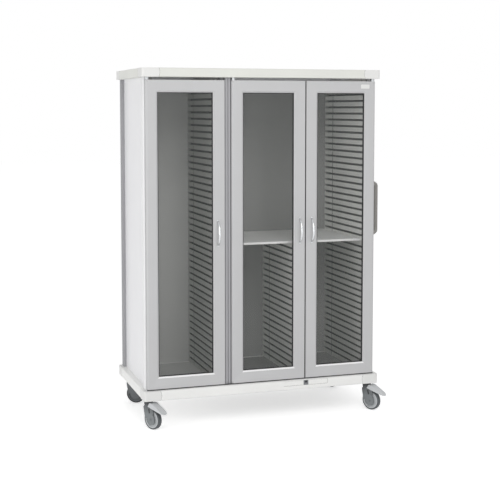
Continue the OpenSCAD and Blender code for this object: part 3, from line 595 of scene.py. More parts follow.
# Painted highlight on the bevel round the glass: its upward faces are a thin bright line under
# each window
BEAD_HIGHLIGHT = Finish("bead_painted_highlight", "#FAFAFA", Grain.POLISHED, 4.0, 0.35,
                     mottle=0.02)
# Grey liner sheet: flat and nearly matt
LINER_GREY = Finish("grey_liner_sheet", "#B6B6B4", Grain.SPRAYED, 6.0, 0.55, relief_mm=0.03)
# The back sheet: the same liner painted paler, a painted light on the left compartment's back wall
BACK_PAINTED_LIGHT = Finish("liner_painted_light", "#C2C2C0", Grain.SPRAYED, 6.0, 0.55, relief_mm=0.03)
# Painted shade: dark sheets on the back of the right double compartment, so that it looks deeper
SHADE_SHEET_GREY = Finish("liner_painted_shade", "#9A9A98", Grain.SPRAYED, 6.0, 0.55, relief_mm=0.03)
# The floor sheet: pale in the left compartment, with painted shade that darkens it past the main
# partition
FLOOR_GREY = Finish("grey_floor_sheet", "#CCCCCA", Grain.SPRAYED, 6.0, 0.55, relief_mm=0.03,
                    fade=("X", -0.26, -0.2, 0.5))
# Shelf board: light grey melamine with a fine print
SHELF_GREY = Finish("light_grey_melamine", "#F8F8F6", Grain.SPRAYED, 4.0, 0.45, relief_mm=0.02)
# Thermoformed ABS of the tray walls: pebbled lips that gleam without mirroring, painted shade in
# the slots
TRAY_GREY = Finish("thermoformed_grey_abs", "#E4E4E0", Grain.MOULDED, 2.0, 0.48, relief_mm=0.06,
                   hollow_shade=0.85)
# The left compartment's tray walls: the same sheet painted darker, as painted shade
TRAY_PAINTED_SHADE = Finish("thermoformed_abs_painted_shade", "#CACAC6", Grain.MOULDED, 2.0, 0.48,
                    relief_mm=0.06, hollow_shade=0.85)
# The divider's and the upper right tray walls: the same sheet painted nearly white, as painted
# light
TRAY_PAINTED_LIGHT = Finish("thermoformed_abs_painted_light", "#FCFCF8", Grain.MOULDED, 2.0, 0.48,
                   relief_mm=0.06, hollow_shade=0.85)
# Zinc-plated steel of pins and bushes: cool, slightly cloudy metal
ZINC = Finish("zinc_plated_steel", "#B4B6B8", Grain.SPRAYED, 3.0, 0.32, mottle=0.08, metal=1.0)
# EPDM rubber of gaskets, seals, strips and plugs: nearly black and dull; the slot plugs, the left
# door's side tape and the recess rim use it as painted shade
SEAL_RUBBER = Finish("black_epdm_rubber", "#232325", Grain.MOULDED, 1.5, 0.62, relief_mm=0.05,
                     sheen=0.1)
# Soft-touch moulding of the push handle: warm dark grey with a leathery pebble
GRIP_GREY = Finish("soft_touch_grip", "#8A8884", Grain.MOULDED, 2.2, 0.55, mottle=0.05,
                   relief_mm=0.12)
# Chrome-plated zinc of the bow handles: bright, with slight waves of the casting under it
CHROME = Finish("chrome_plated_zinc", "#D2D4D6", Grain.POLISHED, 12.0, 0.2, spread=0.04,
                mottle=0.02, metal=1.0)
# Brushed steel of the lock plate: darker than chrome, with a soft sheen
BRUSHED_STEEL = Finish("brushed_steel", "#77797C", Grain.DRAWN_X, 0.8, 0.4, mottle=0.06,
                       metal=0.8)
# Blackened brass of the lock cylinder: a dark disc with a small highlight
LOCK_BLACK = Finish("blackened_brass", "#2B2B2D", Grain.SPRAYED, 1.5, 0.35, metal=0.4)
# Toughened float glass: a faint grey veil over what stands behind it
DOOR_GLASS = Finish("toughened_float_glass", "#8F9594", Grain.POLISHED, 60.0, 0.05, spread=0.01,
                    mottle=0.02, clear=0.07)
# Glass-filled nylon of the front casters' forks: cool mid grey, with painted shade darker towards
# the crown
CASTER_GREY = Finish("glass_filled_nylon", "#7E8284", Grain.MOULDED, 1.8, 0.46, mottle=0.05,
                     relief_mm=0.06, fade=("Z", 0.085, 0.135, 0.45))
# The rear casters' forks and wheel centres: the same nylon painted darker, as the shade under the
# cabinet
REAR_SHADED_NYLON = Finish("glass_filled_nylon_painted_shade", "#6E7173", Grain.MOULDED, 1.8, 0.5, mottle=0.05,
                   relief_mm=0.06)
# The front wheel centres, moulded in a lighter nylon
WHEEL_GREY = Finish("moulded_wheel_nylon", "#C8CBCD", Grain.MOULDED, 1.8, 0.42, mottle=0.04,
                    relief_mm=0.05)
# Thermoplastic rubber of the front tyres: dark grey, dull, lightly scuffed
TYRE_RUBBER = Finish("grey_tyre_rubber", "#54585B", Grain.MOULDED, 2.2, 0.6, spread=0.08,
                     mottle=0.10, relief_mm=0.08, sheen=0.1)
# The rear tyres: the same rubber painted nearly black, as the shade under the cabinet
REAR_SHADED_TYRE = Finish("tyre_rubber_painted_shade", "#303235", Grain.MOULDED, 2.2, 0.6, spread=0.08,
                   mottle=0.10, relief_mm=0.08, sheen=0.1)
# Pedal moulding: light grey nylon that scuffs to a paler tone
PEDAL_GREY = Finish("pedal_nylon", "#D0D2D4", Grain.MOULDED, 2.4, 0.48, mottle=0.06,
                    relief_mm=0.08)
# Filled nylon of the bearing races and the caster mounts: dark grey and dull
BEARING_GREY = Finish("bearing_shell", "#3C3E3F", Grain.MOULDED, 1.8, 0.5, mottle=0.05)


def clad(piece: bpy.types.Object, finish: Finish, body: str,
         stands_for: tuple[str, ...] = ()) -> bpy.types.Object:
    """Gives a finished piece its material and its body.

    Args:
        piece: The piece, in place.
        finish: Its surface.
        body: The CAD body that it rides on.
        stands_for: CAD nodes that it replaces.

    Returns:
        The same piece.
    """
    piece.data.materials.clear()
    piece.data.materials.append(finish.material())
    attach(piece, body)
    if stands_for:
        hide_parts(*stands_for)
    LOG.info("%s rides on %s in %s", piece.name, body, finish.label)
    return piece


def dress(node: str, finish: Finish) -> None:
    """Gives a kept CAD node its finish.

    Args:
        node: The CAD node.
        finish: Its surface.
    """
    kept = frame["nodes"][node]
    if not kept.material_slots:
        kept.data.materials.append(finish.material())
    for holder in kept.material_slots:
        holder.material = finish.material()
    LOG.info("%s is kept in %s", node, finish.label)


def screw_head(name: str, centre: Vector, axis: Vector, radius: float) -> bpy.types.Object:
    """Returns a low domed screw head with a hexagon socket.

    Args:
        name: Name of the piece.
        centre: Where the head meets its seat.
        axis: Direction that the head faces.
        radius: Radius of the head in millimetres.

    Returns:
        The screw head.
    """
    rise, land, depth, rounding = radius * 0.5, radius * 0.45, radius * 0.3, radius * 0.14
    head = bar(name, centre + axis * rise * MM / 2, axis, radius, rise, sides=24)
    with shaping(head):
        pick(head, Part.FACE, lambda f: f.normal.dot(axis) > FACING)
        bpy.ops.mesh.inset(thickness=land * MM)
        bpy.ops.mesh.extrude_region_move(TRANSFORM_OT_translate={"value": axis * -depth * MM})
    return soften(head, rounding)


# Sub-assemblies

@dataclass
class Shell:
    """The cap, the base, the posts and the panels.

    Args:
        edge: Rounding of the mouldings' sharp edges.
        post_edge: Rounding of the posts' sharp edges.
        strip_in: How far the threshold strip stands in from the doors' ends.
        strip_y: Where the strip starts and ends behind the doors' faces.
        strip_z: How deep the strip sits in the base, and the gap between it and the doors.
        joint: Arm length of a corner piece, and radius of its curved joint with a rail.
        seam: Width of the dark joint line, how deep it lies and how far it reaches in.
        recess: Length, height, depth and drop of the recess in the base's front rail.
        rim: Width, thickness and set-in of the rubber rim on the recess's floor, a painted shade
            in its inner corners.
        plate: Length, height and thickness of the blank plate on the right door.
        plate_place: Distance of the plate from the door's right and top edges.
        plate_corner: Radius of the plate's corners.
        plate_rim: Width and height of the plate's raised rim.
        plate_edge: Rounding of the plate's edges.
        screw: Radius of the back panel's screw heads.
        screw_in: How far the screws stand in from the panel's sides and from its ends.
        screw_rows: How many screws hold each side.
    """

    edge: float = 0.9
    post_edge: float = 0.7
    strip_in: float = 2.0
    strip_y: tuple[float, float] = (3.0, 12.0)
    strip_z: tuple[float, float] = (0.5, 0.8)
    joint: tuple[float, float] = (100.0, 60.0)
    seam: tuple[float, float, float] = (1.4, 0.2, 2.0)
    recess: tuple[float, float, float, float] = (270.0, 28.0, 4.0, 4.0)
    rim: tuple[float, float, float] = (0.7, 0.6, 0.1)
    plate: tuple[float, float, float] = (53.0, 24.0, 1.6)
    plate_place: tuple[float, float] = (39.0, 18.0)
    plate_corner: float = 4.0
    plate_rim: tuple[float, float] = (1.2, 0.3)
    plate_edge: float = 0.25
    screw: float = 4.5
    screw_in: tuple[float, float] = (16.0, 40.0)
    screw_rows: int = 7

    def build(self) -> None:
        """Builds and dresses every part of the shell."""
        for part, finish, slot in (("cap_rails", CAP_WHITE, "white_profile"),
                                   ("cap_corners", MOULDED_WHITE, "white_moulding"),
                                   ("base_rails", COATED_WHITE, "white_profile"),
                                   ("base_corners", MOULDED_WHITE, "white_moulding")):
            clad(recast(part, part + "_finished", self.edge), finish, "cabinet", (part,))
        for part, finish in (("front_posts", ANODISED_FRONT), ("rear_posts", ANODISED_POST),
                             ("centre_post", ANODISED_POST)):
            clad(recast(part, part + "_finished", self.post_edge), finish, "cabinet",
                 (part,))
        # The floor panel darkens past the main partition with painted shade
        for part, finish in (("cap_panel", LAMINATE_WHITE), ("floor_panel", FLOOR_GREY),
                             ("side_panel_left", LAMINATE_WHITE),
                             ("side_panel_right", LAMINATE_WHITE),
                             # The back panel is the liner painted paler, as painted light
                             ("back_panel", BACK_PAINTED_LIGHT), ("caster_mounts", BEARING_GREY)):
            dress(part, finish)
        self.threshold()
        self.joint_lines("cap_corners")
        self.joint_lines("base_corners")
        # A dark rim paints the shade in the recess's inner corners
        self.recess_shade_rim()
        self.name_plate()
        self.panel_screws()

    def threshold(self) -> None:
        """Lays the rubber strip that the doors close against on the base."""
        left, right = corners("door_left_frame")[0], corners("door_right_frame")[1]
        base = corners("base_rails")[1].z
        front, back = self.strip_y
        sunk, gap = self.strip_z
        strip = block("door_threshold",
                      Vector((left.x + self.strip_in * MM, left.y + front * MM, base - sunk * MM)),
                      Vector((right.x - self.strip_in * MM, left.y + back * MM,
                              left.z - gap * MM)))
        clad(strip, SEAL_RUBBER, "cabinet")

    def joint_lines(self, node: str) -> None:
        """Fills the joints between the corner pieces and the rails with their dark line.

        Args:
            node: The CAD node of the four corner pieces.
        """
        low, high = corners(node)
        lines = []
        for x, inwards_x in ((low.x, 1), (high.x, -1)):
            for y, inwards_y in ((low.y, 1), (high.y, -1)):
                corner = Vector((x, y, (low.z + high.z) / 2))
                in_x, in_y = Vector((inwards_x, 0, 0)), Vector((0, inwards_y, 0))
                lines += [self.joint_line(node, corner, in_x, in_y),
                          self.joint_line(node, corner, in_y, in_x)]
        clad(joined(lines, f"{node}_joint_lines"), SEAL_RUBBER, "cabinet")

    def joint_line(self, node: str, corner: Vector, along: Vector,
                   across: Vector) -> bpy.types.Object:
        """Builds the dark line of one curved joint.

        Args:
            node: The CAD node of the corner pieces.
            corner: The ring's outer corner, halfway up.
            along: Direction from the corner to the joint.
            across: Direction from the outer face inwards.

        Returns:
            The line, in place.
        """
        arm, radius = self.joint
        wide, sunk, deep = self.seam
        low, high = corners(node)
        centre = corner + (along * (arm - radius) + across * (sunk + deep / 2)) * MM
        line = bar(f"{node}_joint_line", centre, across, radius, deep, sides=240)
        with shaping(line):
            pick(line, Part.FACE, lambda f: abs(f.normal.dot(across)) > FACING)
            bpy.ops.mesh.delete(type="FACE")
            for point, outwards in ((centre, -along), (low, Vector((0, 0, -1))),
                                    (high, Vector((0, 0, 1)))):
                bpy.ops.mesh.select_all(action="SELECT")
                bpy.ops.mesh.bisect(plane_co=point - outwards * wide * MM, plane_no=outwards,
                                    clear_outer=True)
        thicken(line, wide)
        return line

    def recess_shade_rim(self) -> None:
        """Lays the thin rubber rim round the floor of the base's recess, a painted shade in its
        inner corners.
        """
        long, high, deep, drop = self.recess
        wide, thick, sunk = self.rim
        hub, (base_low, base_high) = middle("lock_cylinder"), corners("base_rails")
        floor, top = base_low.y + deep * MM, base_high.z - drop * MM
        rim = block("recess_shade_rim",
                    Vector((hub.x - long / 2 * MM, floor - thick * MM, top - high * MM)),
                    Vector((hub.x + long / 2 * MM, floor + sunk * MM, top)))
        open_up(rim, Vector((0, 1, 0)), wide)
        clad(rim, SEAL_RUBBER, "cabinet")

    def name_plate(self) -> None:
        """Builds the blank plate on the right door's top rail."""
        long, high, thick = self.plate
        in_x, in_z = self.plate_place
        rim, rise = self.plate_rim
        door_low, door_high = corners("door_right_frame")
        right, top = door_high.x - in_x * MM, door_high.z - in_z * MM
        plate = block("name_plate",
                      Vector((right - long * MM, door_low.y - thick * MM, top - high * MM)),
                      Vector((right, door_low.y, top)))
        with shaping(plate):
            pick(plate, Part.EDGE, lambda e: abs(reach_of(e).y) > thick * MM / 2)
            bpy.ops.mesh.bevel(offset=self.plate_corner * MM, segments=6)
            pick(plate, Part.FACE, lambda f: f.normal.y < -FACING)
            bpy.ops.mesh.inset(thickness=rim * MM)
            bpy.ops.mesh.extrude_region_move(TRANSFORM_OT_translate={"value": (0, rise * MM, 0)})
        clad(soften(plate, self.plate_edge), MOULDED_WHITE, "door_right")

    def panel_screws(self) -> None:
        """Builds the rows of screws that hold the back panel to the posts."""
        low, high = corners("back_panel")
        in_x, in_z = (part * MM for part in self.screw_in)
        first = screw_head("back_screws", Vector((low.x + in_x, high.y, low.z + in_z)),
                           Vector((0, 1, 0)), self.screw)
        step = (high.z - low.z - 2 * in_z) / (self.screw_rows - 1)
        across = high.x - low.x - 2 * in_x
        row = [twin(first, f"back_screw_{i}_{side}", Vector((across * side, 0, step * i)))
               for i in range(self.screw_rows) for side in (0, 1) if i or side]
        clad(joined([first, *row], "back_panel_screws"), ZINC, "cabinet")


@dataclass
class Interior:
    """The partitions, the shelf and the moulded tray walls.

    Args:
        edge: Rounding of the shelf's edges.
        strip: Thickness of the bright strip on the shelf's front edge, how far it stands in from
            the ends, and how far it rises over the shelf.
        strip_edge: Rounding of that strip.
        sheet: How far the front and the back of the dark sheets of painted shade stand before the
            back panel.
        sheet_gap: Gap round each of these sheets.
    """

    edge: float = 0.8
    strip: tuple[float, float, float] = (2.0, 0.3, 0.4)
    strip_edge: float = 0.5
    sheet: tuple[float, float] = (1.2, 0.2)
    sheet_gap: float = 0.5

    def build(self) -> None:
        """Builds and dresses what stands behind the doors."""
        # The left tray walls carry painted shade, the divider's and the upper outer ones painted
        # light
        for node, finish in (("main_partition", LINER_GREY), ("lower_partition", LINER_GREY),
                             ("rails_left_outer", TRAY_PAINTED_SHADE), ("rails_left_inner", TRAY_PAINTED_SHADE),
                             ("rails_upper_inner", TRAY_GREY), ("rails_upper_outer", TRAY_PAINTED_LIGHT),
                             ("rails_lower_inner", TRAY_GREY), ("rails_lower_outer", TRAY_GREY),
                             ("rails_divider_left", TRAY_PAINTED_LIGHT),
                             ("rails_divider_right", TRAY_PAINTED_LIGHT),
                             ("door_seals", SEAL_RUBBER), ("pivot_bushes", ZINC)):
            dress(node, finish)
        clad(recast("shelf", "shelf_finished", self.edge), SHELF_GREY, "cabinet",
             ("shelf",))
        low, high = corners("shelf")
        thick, inset, rise = (part * MM for part in self.strip)
        strip = block("shelf_edge_strip", Vector((low.x + inset, low.y - thick, low.z)),
                      Vector((high.x - inset, low.y, high.z + rise)))
        clad(soften(strip, self.strip_edge), COATED_WHITE, "cabinet")
        # Dark sheets paint the shade at the back of the right double compartment
        self.shade_sheets(low.z, high.z)

    def shade_sheets(self, under: float, over: float) -> None:
        """Lays dark sheets of painted shade on the back of the right double compartment, above and
        below the shelf.

        Args:
            under: Height of the shelf's underside, in metres.
            over: Height of the shelf's top, in metres.
        """
        back_low, back_high = corners("back_panel")
        ground = corners("floor_panel")[1].z
        near, far = (back_low.y - reach * MM for reach in self.sheet)
        gap = self.sheet_gap * MM
        sheets = [block(f"shade_sheet_{i}", Vector((corners(left)[1].x + gap, near, bottom + gap)),
                        Vector((corners(right)[0].x - gap, far, top - gap)))
                  for i, (left, right, bottom, top) in enumerate((
                      ("rails_upper_inner", "rails_upper_outer", over, back_high.z),
                      ("rails_lower_inner", "rails_divider_left", ground, under),
                      ("rails_divider_right", "rails_lower_outer", ground, under)))]
        clad(joined(sheets, "shade_sheets"), SHADE_SHEET_GREY, "cabinet")


class Side(Enum):
    """The three doors by their place."""

    LEFT = "left"
    MIDDLE = "middle"
    RIGHT = "right"


@dataclass
class Door:
    """One framed glass door with its bow handle.

    Args:
        side: Which door it is.
        stile: Width of the frame's members.
        edge: Rounding of the members' edges.
        bevel: Width, depth and thickness of the bead on the bevel round the glass.
        lit: How far up a face of the bead looks to take the painted highlight.
        bow_wide: Width of the handle's bow.
        bow_thick: Thickness of the handle's bow.
        bow_steps: Steps along the bow.
        foot: Radius of the handle's feet.
        foot_high: Height of the feet.
        foot_edge: Rounding of the feet.
        taper: How much narrower the bow would be at the end of its taper.
        taper_end: Where the taper ends, as a share of the way from the middle to a foot.
        screw: Radius of the heads of the screws behind the handle.
        lip: Width of the closing lip, and how far it stands back from the door's faces.
        lip_edge: Rounding of the lip.
        tape: How far the dark tape of painted shade on the door's side stands back, and its width.
        body: The CAD body that the door's pieces ride on.
    """

    side: Side
    stile: float = 68.0
    edge: float = 0.8
    bevel: tuple[float, float, float] = (8.0, 6.0, 0.6)
    lit: float = 0.3
    bow_wide: float = 12.0
    bow_thick: float = 7.0
    bow_steps: int = 28
    foot: float = 6.0
    foot_high: float = 4.0
    foot_edge: float = 1.2
    taper: float = 0.25
    taper_end: float = 1.02
    screw: float = 5.0
    lip: tuple[float, float] = (4.6, 3.0)
    lip_edge: float = 0.6
    tape: tuple[float, float] = (4.0, 8.0)
    body: str = field(init=False)

    def __post_init__(self) -> None:
        """Derives the name of the CAD body."""
        self.body = f"door_{self.side.value}"

    def build(self) -> None:
        """Builds and dresses the whole door."""
        self.frame_members()
        self.bead()
        self.handle()
        for part, finish in (("glass", DOOR_GLASS), ("gasket", SEAL_RUBBER), ("pins", ZINC)):
            dress(f"{self.body}_{part}", finish)
        if self.side is Side.MIDDLE:
            self.closing_lip()

    def shade_tape(self, stiles: bpy.types.Object) -> None:
        """Marks the band of dark tape on the door's outer side, a painted shade beside the post.

        Args:
            stiles: The door's finished upright members.
        """
        low = corners(f"{self.body}_frame")[0]
        start, wide = (part * MM for part in self.tape)
        with shaping(stiles):
            for back in (start, start + wide):
                bpy.ops.mesh.select_all(action="SELECT")
                bpy.ops.mesh.bisect(plane_co=low + Vector((0, back, 0)), plane_no=(0, 1, 0))
        even_flats(stiles)
        stiles.data.materials.append(SEAL_RUBBER.material())
        for face in stiles.data.polygons:
            if face.normal.x < -FACING and start < face.center.y - low.y < start + wide:
                face.material_index = int(face.center.x - low.x < self.edge * MM / 2)

    def closing_lip(self) -> None:
        """Builds the rubber lip that closes the gap beside the next door."""
        low, high = corners(f"{self.body}_frame")
        wide, back = self.lip
        lip = block(f"{self.body}_closing_lip",
                    Vector((high.x, low.y + back * MM, low.z + back * MM)),
                    Vector((high.x + wide * MM, high.y - back * MM, high.z - back * MM)))
        clad(soften(lip, self.lip_edge), SEAL_RUBBER, self.body)

    def frame_members(self) -> None:
        """Cuts the frame into four members whose mitres show, and finishes each."""
        node = f"{self.body}_frame"
        low, high = corners(node)
        mid = (low + high) / 2
        stiles, rails = [], []
        for part, sign, upright in (("stile_a", -1, True), ("stile_b", 1, True),
                                    ("rail_low", -1, False), ("rail_high", 1, False)):
            member = recast(node, f"{self.body}_{part}", self.edge)
            for tip in (-1, 1):
                if upright:
                    corner = Vector(((low if sign < 0 else high).x, mid.y,
                                     (low if tip < 0 else high).z))
                    outwards = Vector((-sign, 0, tip)).normalized()
                else:
                    corner = Vector(((low if tip < 0 else high).x, mid.y,
                                     (low if sign < 0 else high).z))
                    outwards = Vector((tip, 0, -sign)).normalized()
                slice_off(member, corner, outwards)
            if upright:
                slice_off(member, mid, Vector((-sign, 0, 0)))
            (stiles if upright else rails).append(even_flats(member))
        stiles = clad(joined(stiles, f"{self.body}_stiles"), ANODISED_STILE, self.body,
                      (node,))
        # The left door's side gets a dark band of painted shade
        if self.side is Side.LEFT:
            self.shade_tape(stiles)
        clad(joined(rails, f"{self.body}_rails"), ANODISED_RAIL, self.body,
             (node,))

    def bead(self) -> None:
        """Lines the bevel round the glass with its bead, and paints a highlight on the bead's
        upward faces.
        """
        low, high = corners(f"{self.body}_frame")
        inset = self.stile * MM
        wide, deep = self.bevel[0] * MM, self.bevel[1] * MM
        size = Vector((high.x - low.x - 2 * inset, 1, high.z - low.z - 2 * inset))
        centre = Vector(((low.x + high.x) / 2, low.y + deep, (low.z + high.z) / 2))
        bpy.ops.object.select_all(action="DESELECT")
        bpy.ops.mesh.primitive_plane_add(size=1, location=centre, rotation=(math.pi / 2, 0, 0))
        bpy.context.active_object.scale = (size.x, size.z, 1)
        bead = settle(f"{self.body}_glass_bead")
        with shaping(bead):
            bpy.ops.mesh.select_mode(type="EDGE")
            bpy.ops.mesh.select_all(action="SELECT")
            bpy.ops.mesh.delete(type="ONLY_FACE")
            bpy.ops.mesh.select_all(action="SELECT")
            bpy.ops.mesh.extrude_edges_move(TRANSFORM_OT_translate={"value": (0, -deep, 0)})
            bpy.ops.transform.resize(
                value=(1 + 2 * wide / size.x, 1, 1 + 2 * wide / size.z), center_override=centre)
            bpy.ops.mesh.select_all(action="SELECT")
            bpy.ops.mesh.normals_make_consistent(inside=True)
        thicken(bead, self.bevel[2])
        clad(bead, ANODISED_STILE, self.body)
        # The bead's upward faces take a painted highlight, the rest the stiles' finish
        bead.data.materials.append(BEAD_HIGHLIGHT.material())
        for face in bead.data.polygons:
            face.material_index = int(face.normal.z > self.lit)

    def handle(self) -> None:
        """Sweeps the bow handle between its two feet and finishes it."""
        node = f"{self.body}_handle"
        low, high = corners(node)
        x, z = (low.x + high.x) / 2, (low.z + high.z) / 2
        face = high.y
        chord = (high.z - low.z) / 2 - self.foot * MM
        sag = face - low.y - self.bow_thick * MM / 2
        radius = (chord ** 2 + sag ** 2) / (2 * sag)
        sweep = 2 * math.asin(chord / radius)
        centre = Vector((x, face - sag + radius, z))
        start = Vector((x, face, z + chord))
        spoke = (start - centre).normalized()
        along = Vector((0, -spoke.z, spoke.y))
        bpy.ops.object.select_all(action="DESELECT")
        bpy.ops.mesh.primitive_circle_add(
            vertices=24, radius=0.5 * MM, location=start,
            rotation=along.to_track_quat("Z", "X").to_euler())
        bpy.context.active_object.scale = (self.bow_thick, self.bow_wide, 1)
        bow = settle(f"{self.body}_bow")
        with shaping(bow):
            bpy.ops.mesh.select_all(action="SELECT")
            bpy.ops.mesh.spin(steps=self.bow_steps, angle=-sweep, center=centre, axis=(1, 0, 0))
        close_ends(bow)
        reach = chord * self.taper_end
        for corner in bow.data.vertices:
            rise = min(1.0, abs(corner.co.z - z) / reach)
            corner.co.x = x + (corner.co.x - x) * (1 - self.taper * rise ** 2)
        back = corners(f"{self.body}_frame")[1].y
        feet, heads = [], []
        for tip in (-1, 1):
            level = z + tip * chord
            feet.append(soften(bar(
                f"{self.body}_foot_{tip}", Vector((x, face - self.foot_high / 2 * MM, level)),
                Vector((0, -1, 0)), self.foot, self.foot_high, sides=32),
                self.foot_edge, segments=3))
            heads.append(screw_head(f"{self.body}_handle_screw_{tip}", Vector((x, back, level)),
                                    Vector((0, 1, 0)), self.screw))
        clad(joined([bow, *feet], f"{self.body}_bow_handle"), CHROME, self.body,
             (node,))
        clad(joined(heads, f"{self.body}_handle_screws"), ZINC, self.body)


@dataclass
class PushHandle:
    """The moulded push handle on the right side, with its brackets.

    Args:
        thick: Thickness of the grip, measured outwards.
        wide: Width of the grip from front to back.
        round_off: Rounding of the grip's section.
        bend: Radius of the bends on the grip's centre line.
        slope: Rise of the slanted arms in degrees.
        edge: Rounding of the brackets' edges.
        screw: Radius of the brackets' screw heads.
        screw_in: How far the screws stand in from the brackets' backs and from their ends.
    """

    thick: float = 22.0
    wide: float = 26.0
    round_off: float = 8.0
    bend: float = 18.0
    slope: float = 30.0
    edge: float = 1.0
    screw: float = 4.0
    screw_in: tuple[float, float] = (4.0, 6.0)

    def build(self) -> None:
        """Builds the grip, and then the brackets with their screws."""
        self.grip()
        self.brackets()

    def grip(self) -> None:
        """Sweeps the upper half of the grip, mirrors it and closes its ends."""
        low, high = corners("push_grip")
        seat = low.x
        x = high.x - self.thick * MM / 2
        y, mid = (low.y + high.y) / 2, (low.z + high.z) / 2
        slope = math.radians(self.slope)
        turn = math.pi / 2 - slope
        turn_in = self.bend * MM * math.tan(turn / 2)
        knee = high.z - self.thick * MM / 2 - (x - seat) * math.tan(slope)
        bpy.ops.object.select_all(action="DESELECT")
        bpy.ops.mesh.primitive_plane_add(size=1, location=(x, y, mid))
        grip = bpy.context.active_object
        grip.name = grip.data.name = "push_grip_moulded"
        grip.scale = (self.thick * MM, self.wide * MM, 1)
        bpy.ops.object.transform_apply(location=False, rotation=False, scale=True)
        rise = knee - mid
        with shaping(grip):
            bpy.ops.mesh.select_all(action="SELECT")
            bpy.ops.mesh.bevel(offset=self.round_off * MM, segments=5, affect="VERTICES")
            bpy.ops.mesh.delete(type="ONLY_FACE")
            bpy.ops.mesh.select_mode(type="EDGE")
            bpy.ops.mesh.select_all(action="SELECT")
            bpy.ops.mesh.extrude_edges_move(
                TRANSFORM_OT_translate={"value": (0, 0, rise - turn_in)})
            bpy.ops.mesh.spin(steps=8, angle=-turn,
                              center=(x - self.bend * MM, y, knee - turn_in), axis=(0, -1, 0))
            length = (x - seat) / math.cos(slope) - turn_in
            bpy.ops.mesh.extrude_edges_move(TRANSFORM_OT_translate={
                "value": (-length * math.cos(slope), 0, length * math.sin(slope))})
        mirror = grip.modifiers.new("mirror", "MIRROR")
        mirror.use_axis = (False, False, True)
        mirror.merge_threshold = WELD * 10
        alone(grip)
        bpy.ops.object.modifier_apply(modifier=mirror.name)
        bpy.ops.object.transform_apply(location=True, rotation=False, scale=False)
        close_ends(grip)
        clad(grip, GRIP_GREY, "cabinet", ("push_grip",))

    def brackets(self) -> None:
        """Rounds the brackets' edges and sets a screw in each bracket."""
        clad(recast("push_brackets", "push_brackets_finished", self.edge), GRIP_GREY, "cabinet",
             ("push_brackets",))
        low, high = corners("push_brackets")
        y = middle("push_grip").y
        in_x, in_z = (part * MM for part in self.screw_in)
        heads = [screw_head(f"bracket_screw_{i}", Vector((low.x + in_x, y, level)),
                            Vector((1, 0, 0)), self.screw)
                 for i, level in enumerate((low.z + in_z, high.z - in_z))]
        clad(joined(heads, "push_bracket_screws"), ZINC, "cabinet")


@dataclass
class Lock:
    """The base lock: a square plate, a bezel and the cylinder.

    Args:
        edge: Rounding of the plate's edges.
        bezel: Inner radius, outer radius and height of the bezel.
        bezel_edge: Rounding of the bezel.
    """

    edge: float = 0.8
    bezel: tuple[float, float, float] = (6.8, 8.6, 0.8)
    bezel_edge: float = 0.2

    def build(self) -> None:
        """Builds and dresses the lock."""
        clad(recast("lock_plate", "lock_plate_finished", self.edge), BRUSHED_STEEL, "cabinet",
             ("lock_plate",))
        low = corners("lock_plate")[0]
        hub = middle("lock_cylinder")
        inner, outer, high = self.bezel
        forwards = Vector((0, -1, 0))
        ring = bar("lock_bezel", Vector((hub.x, low.y - high / 2 * MM, hub.z)), forwards, outer,
                   high)
        open_up(ring, forwards, outer - inner)
        clad(soften(ring, self.bezel_edge), BRUSHED_STEEL, "cabinet")
        dress("lock_cylinder", LOCK_BLACK)


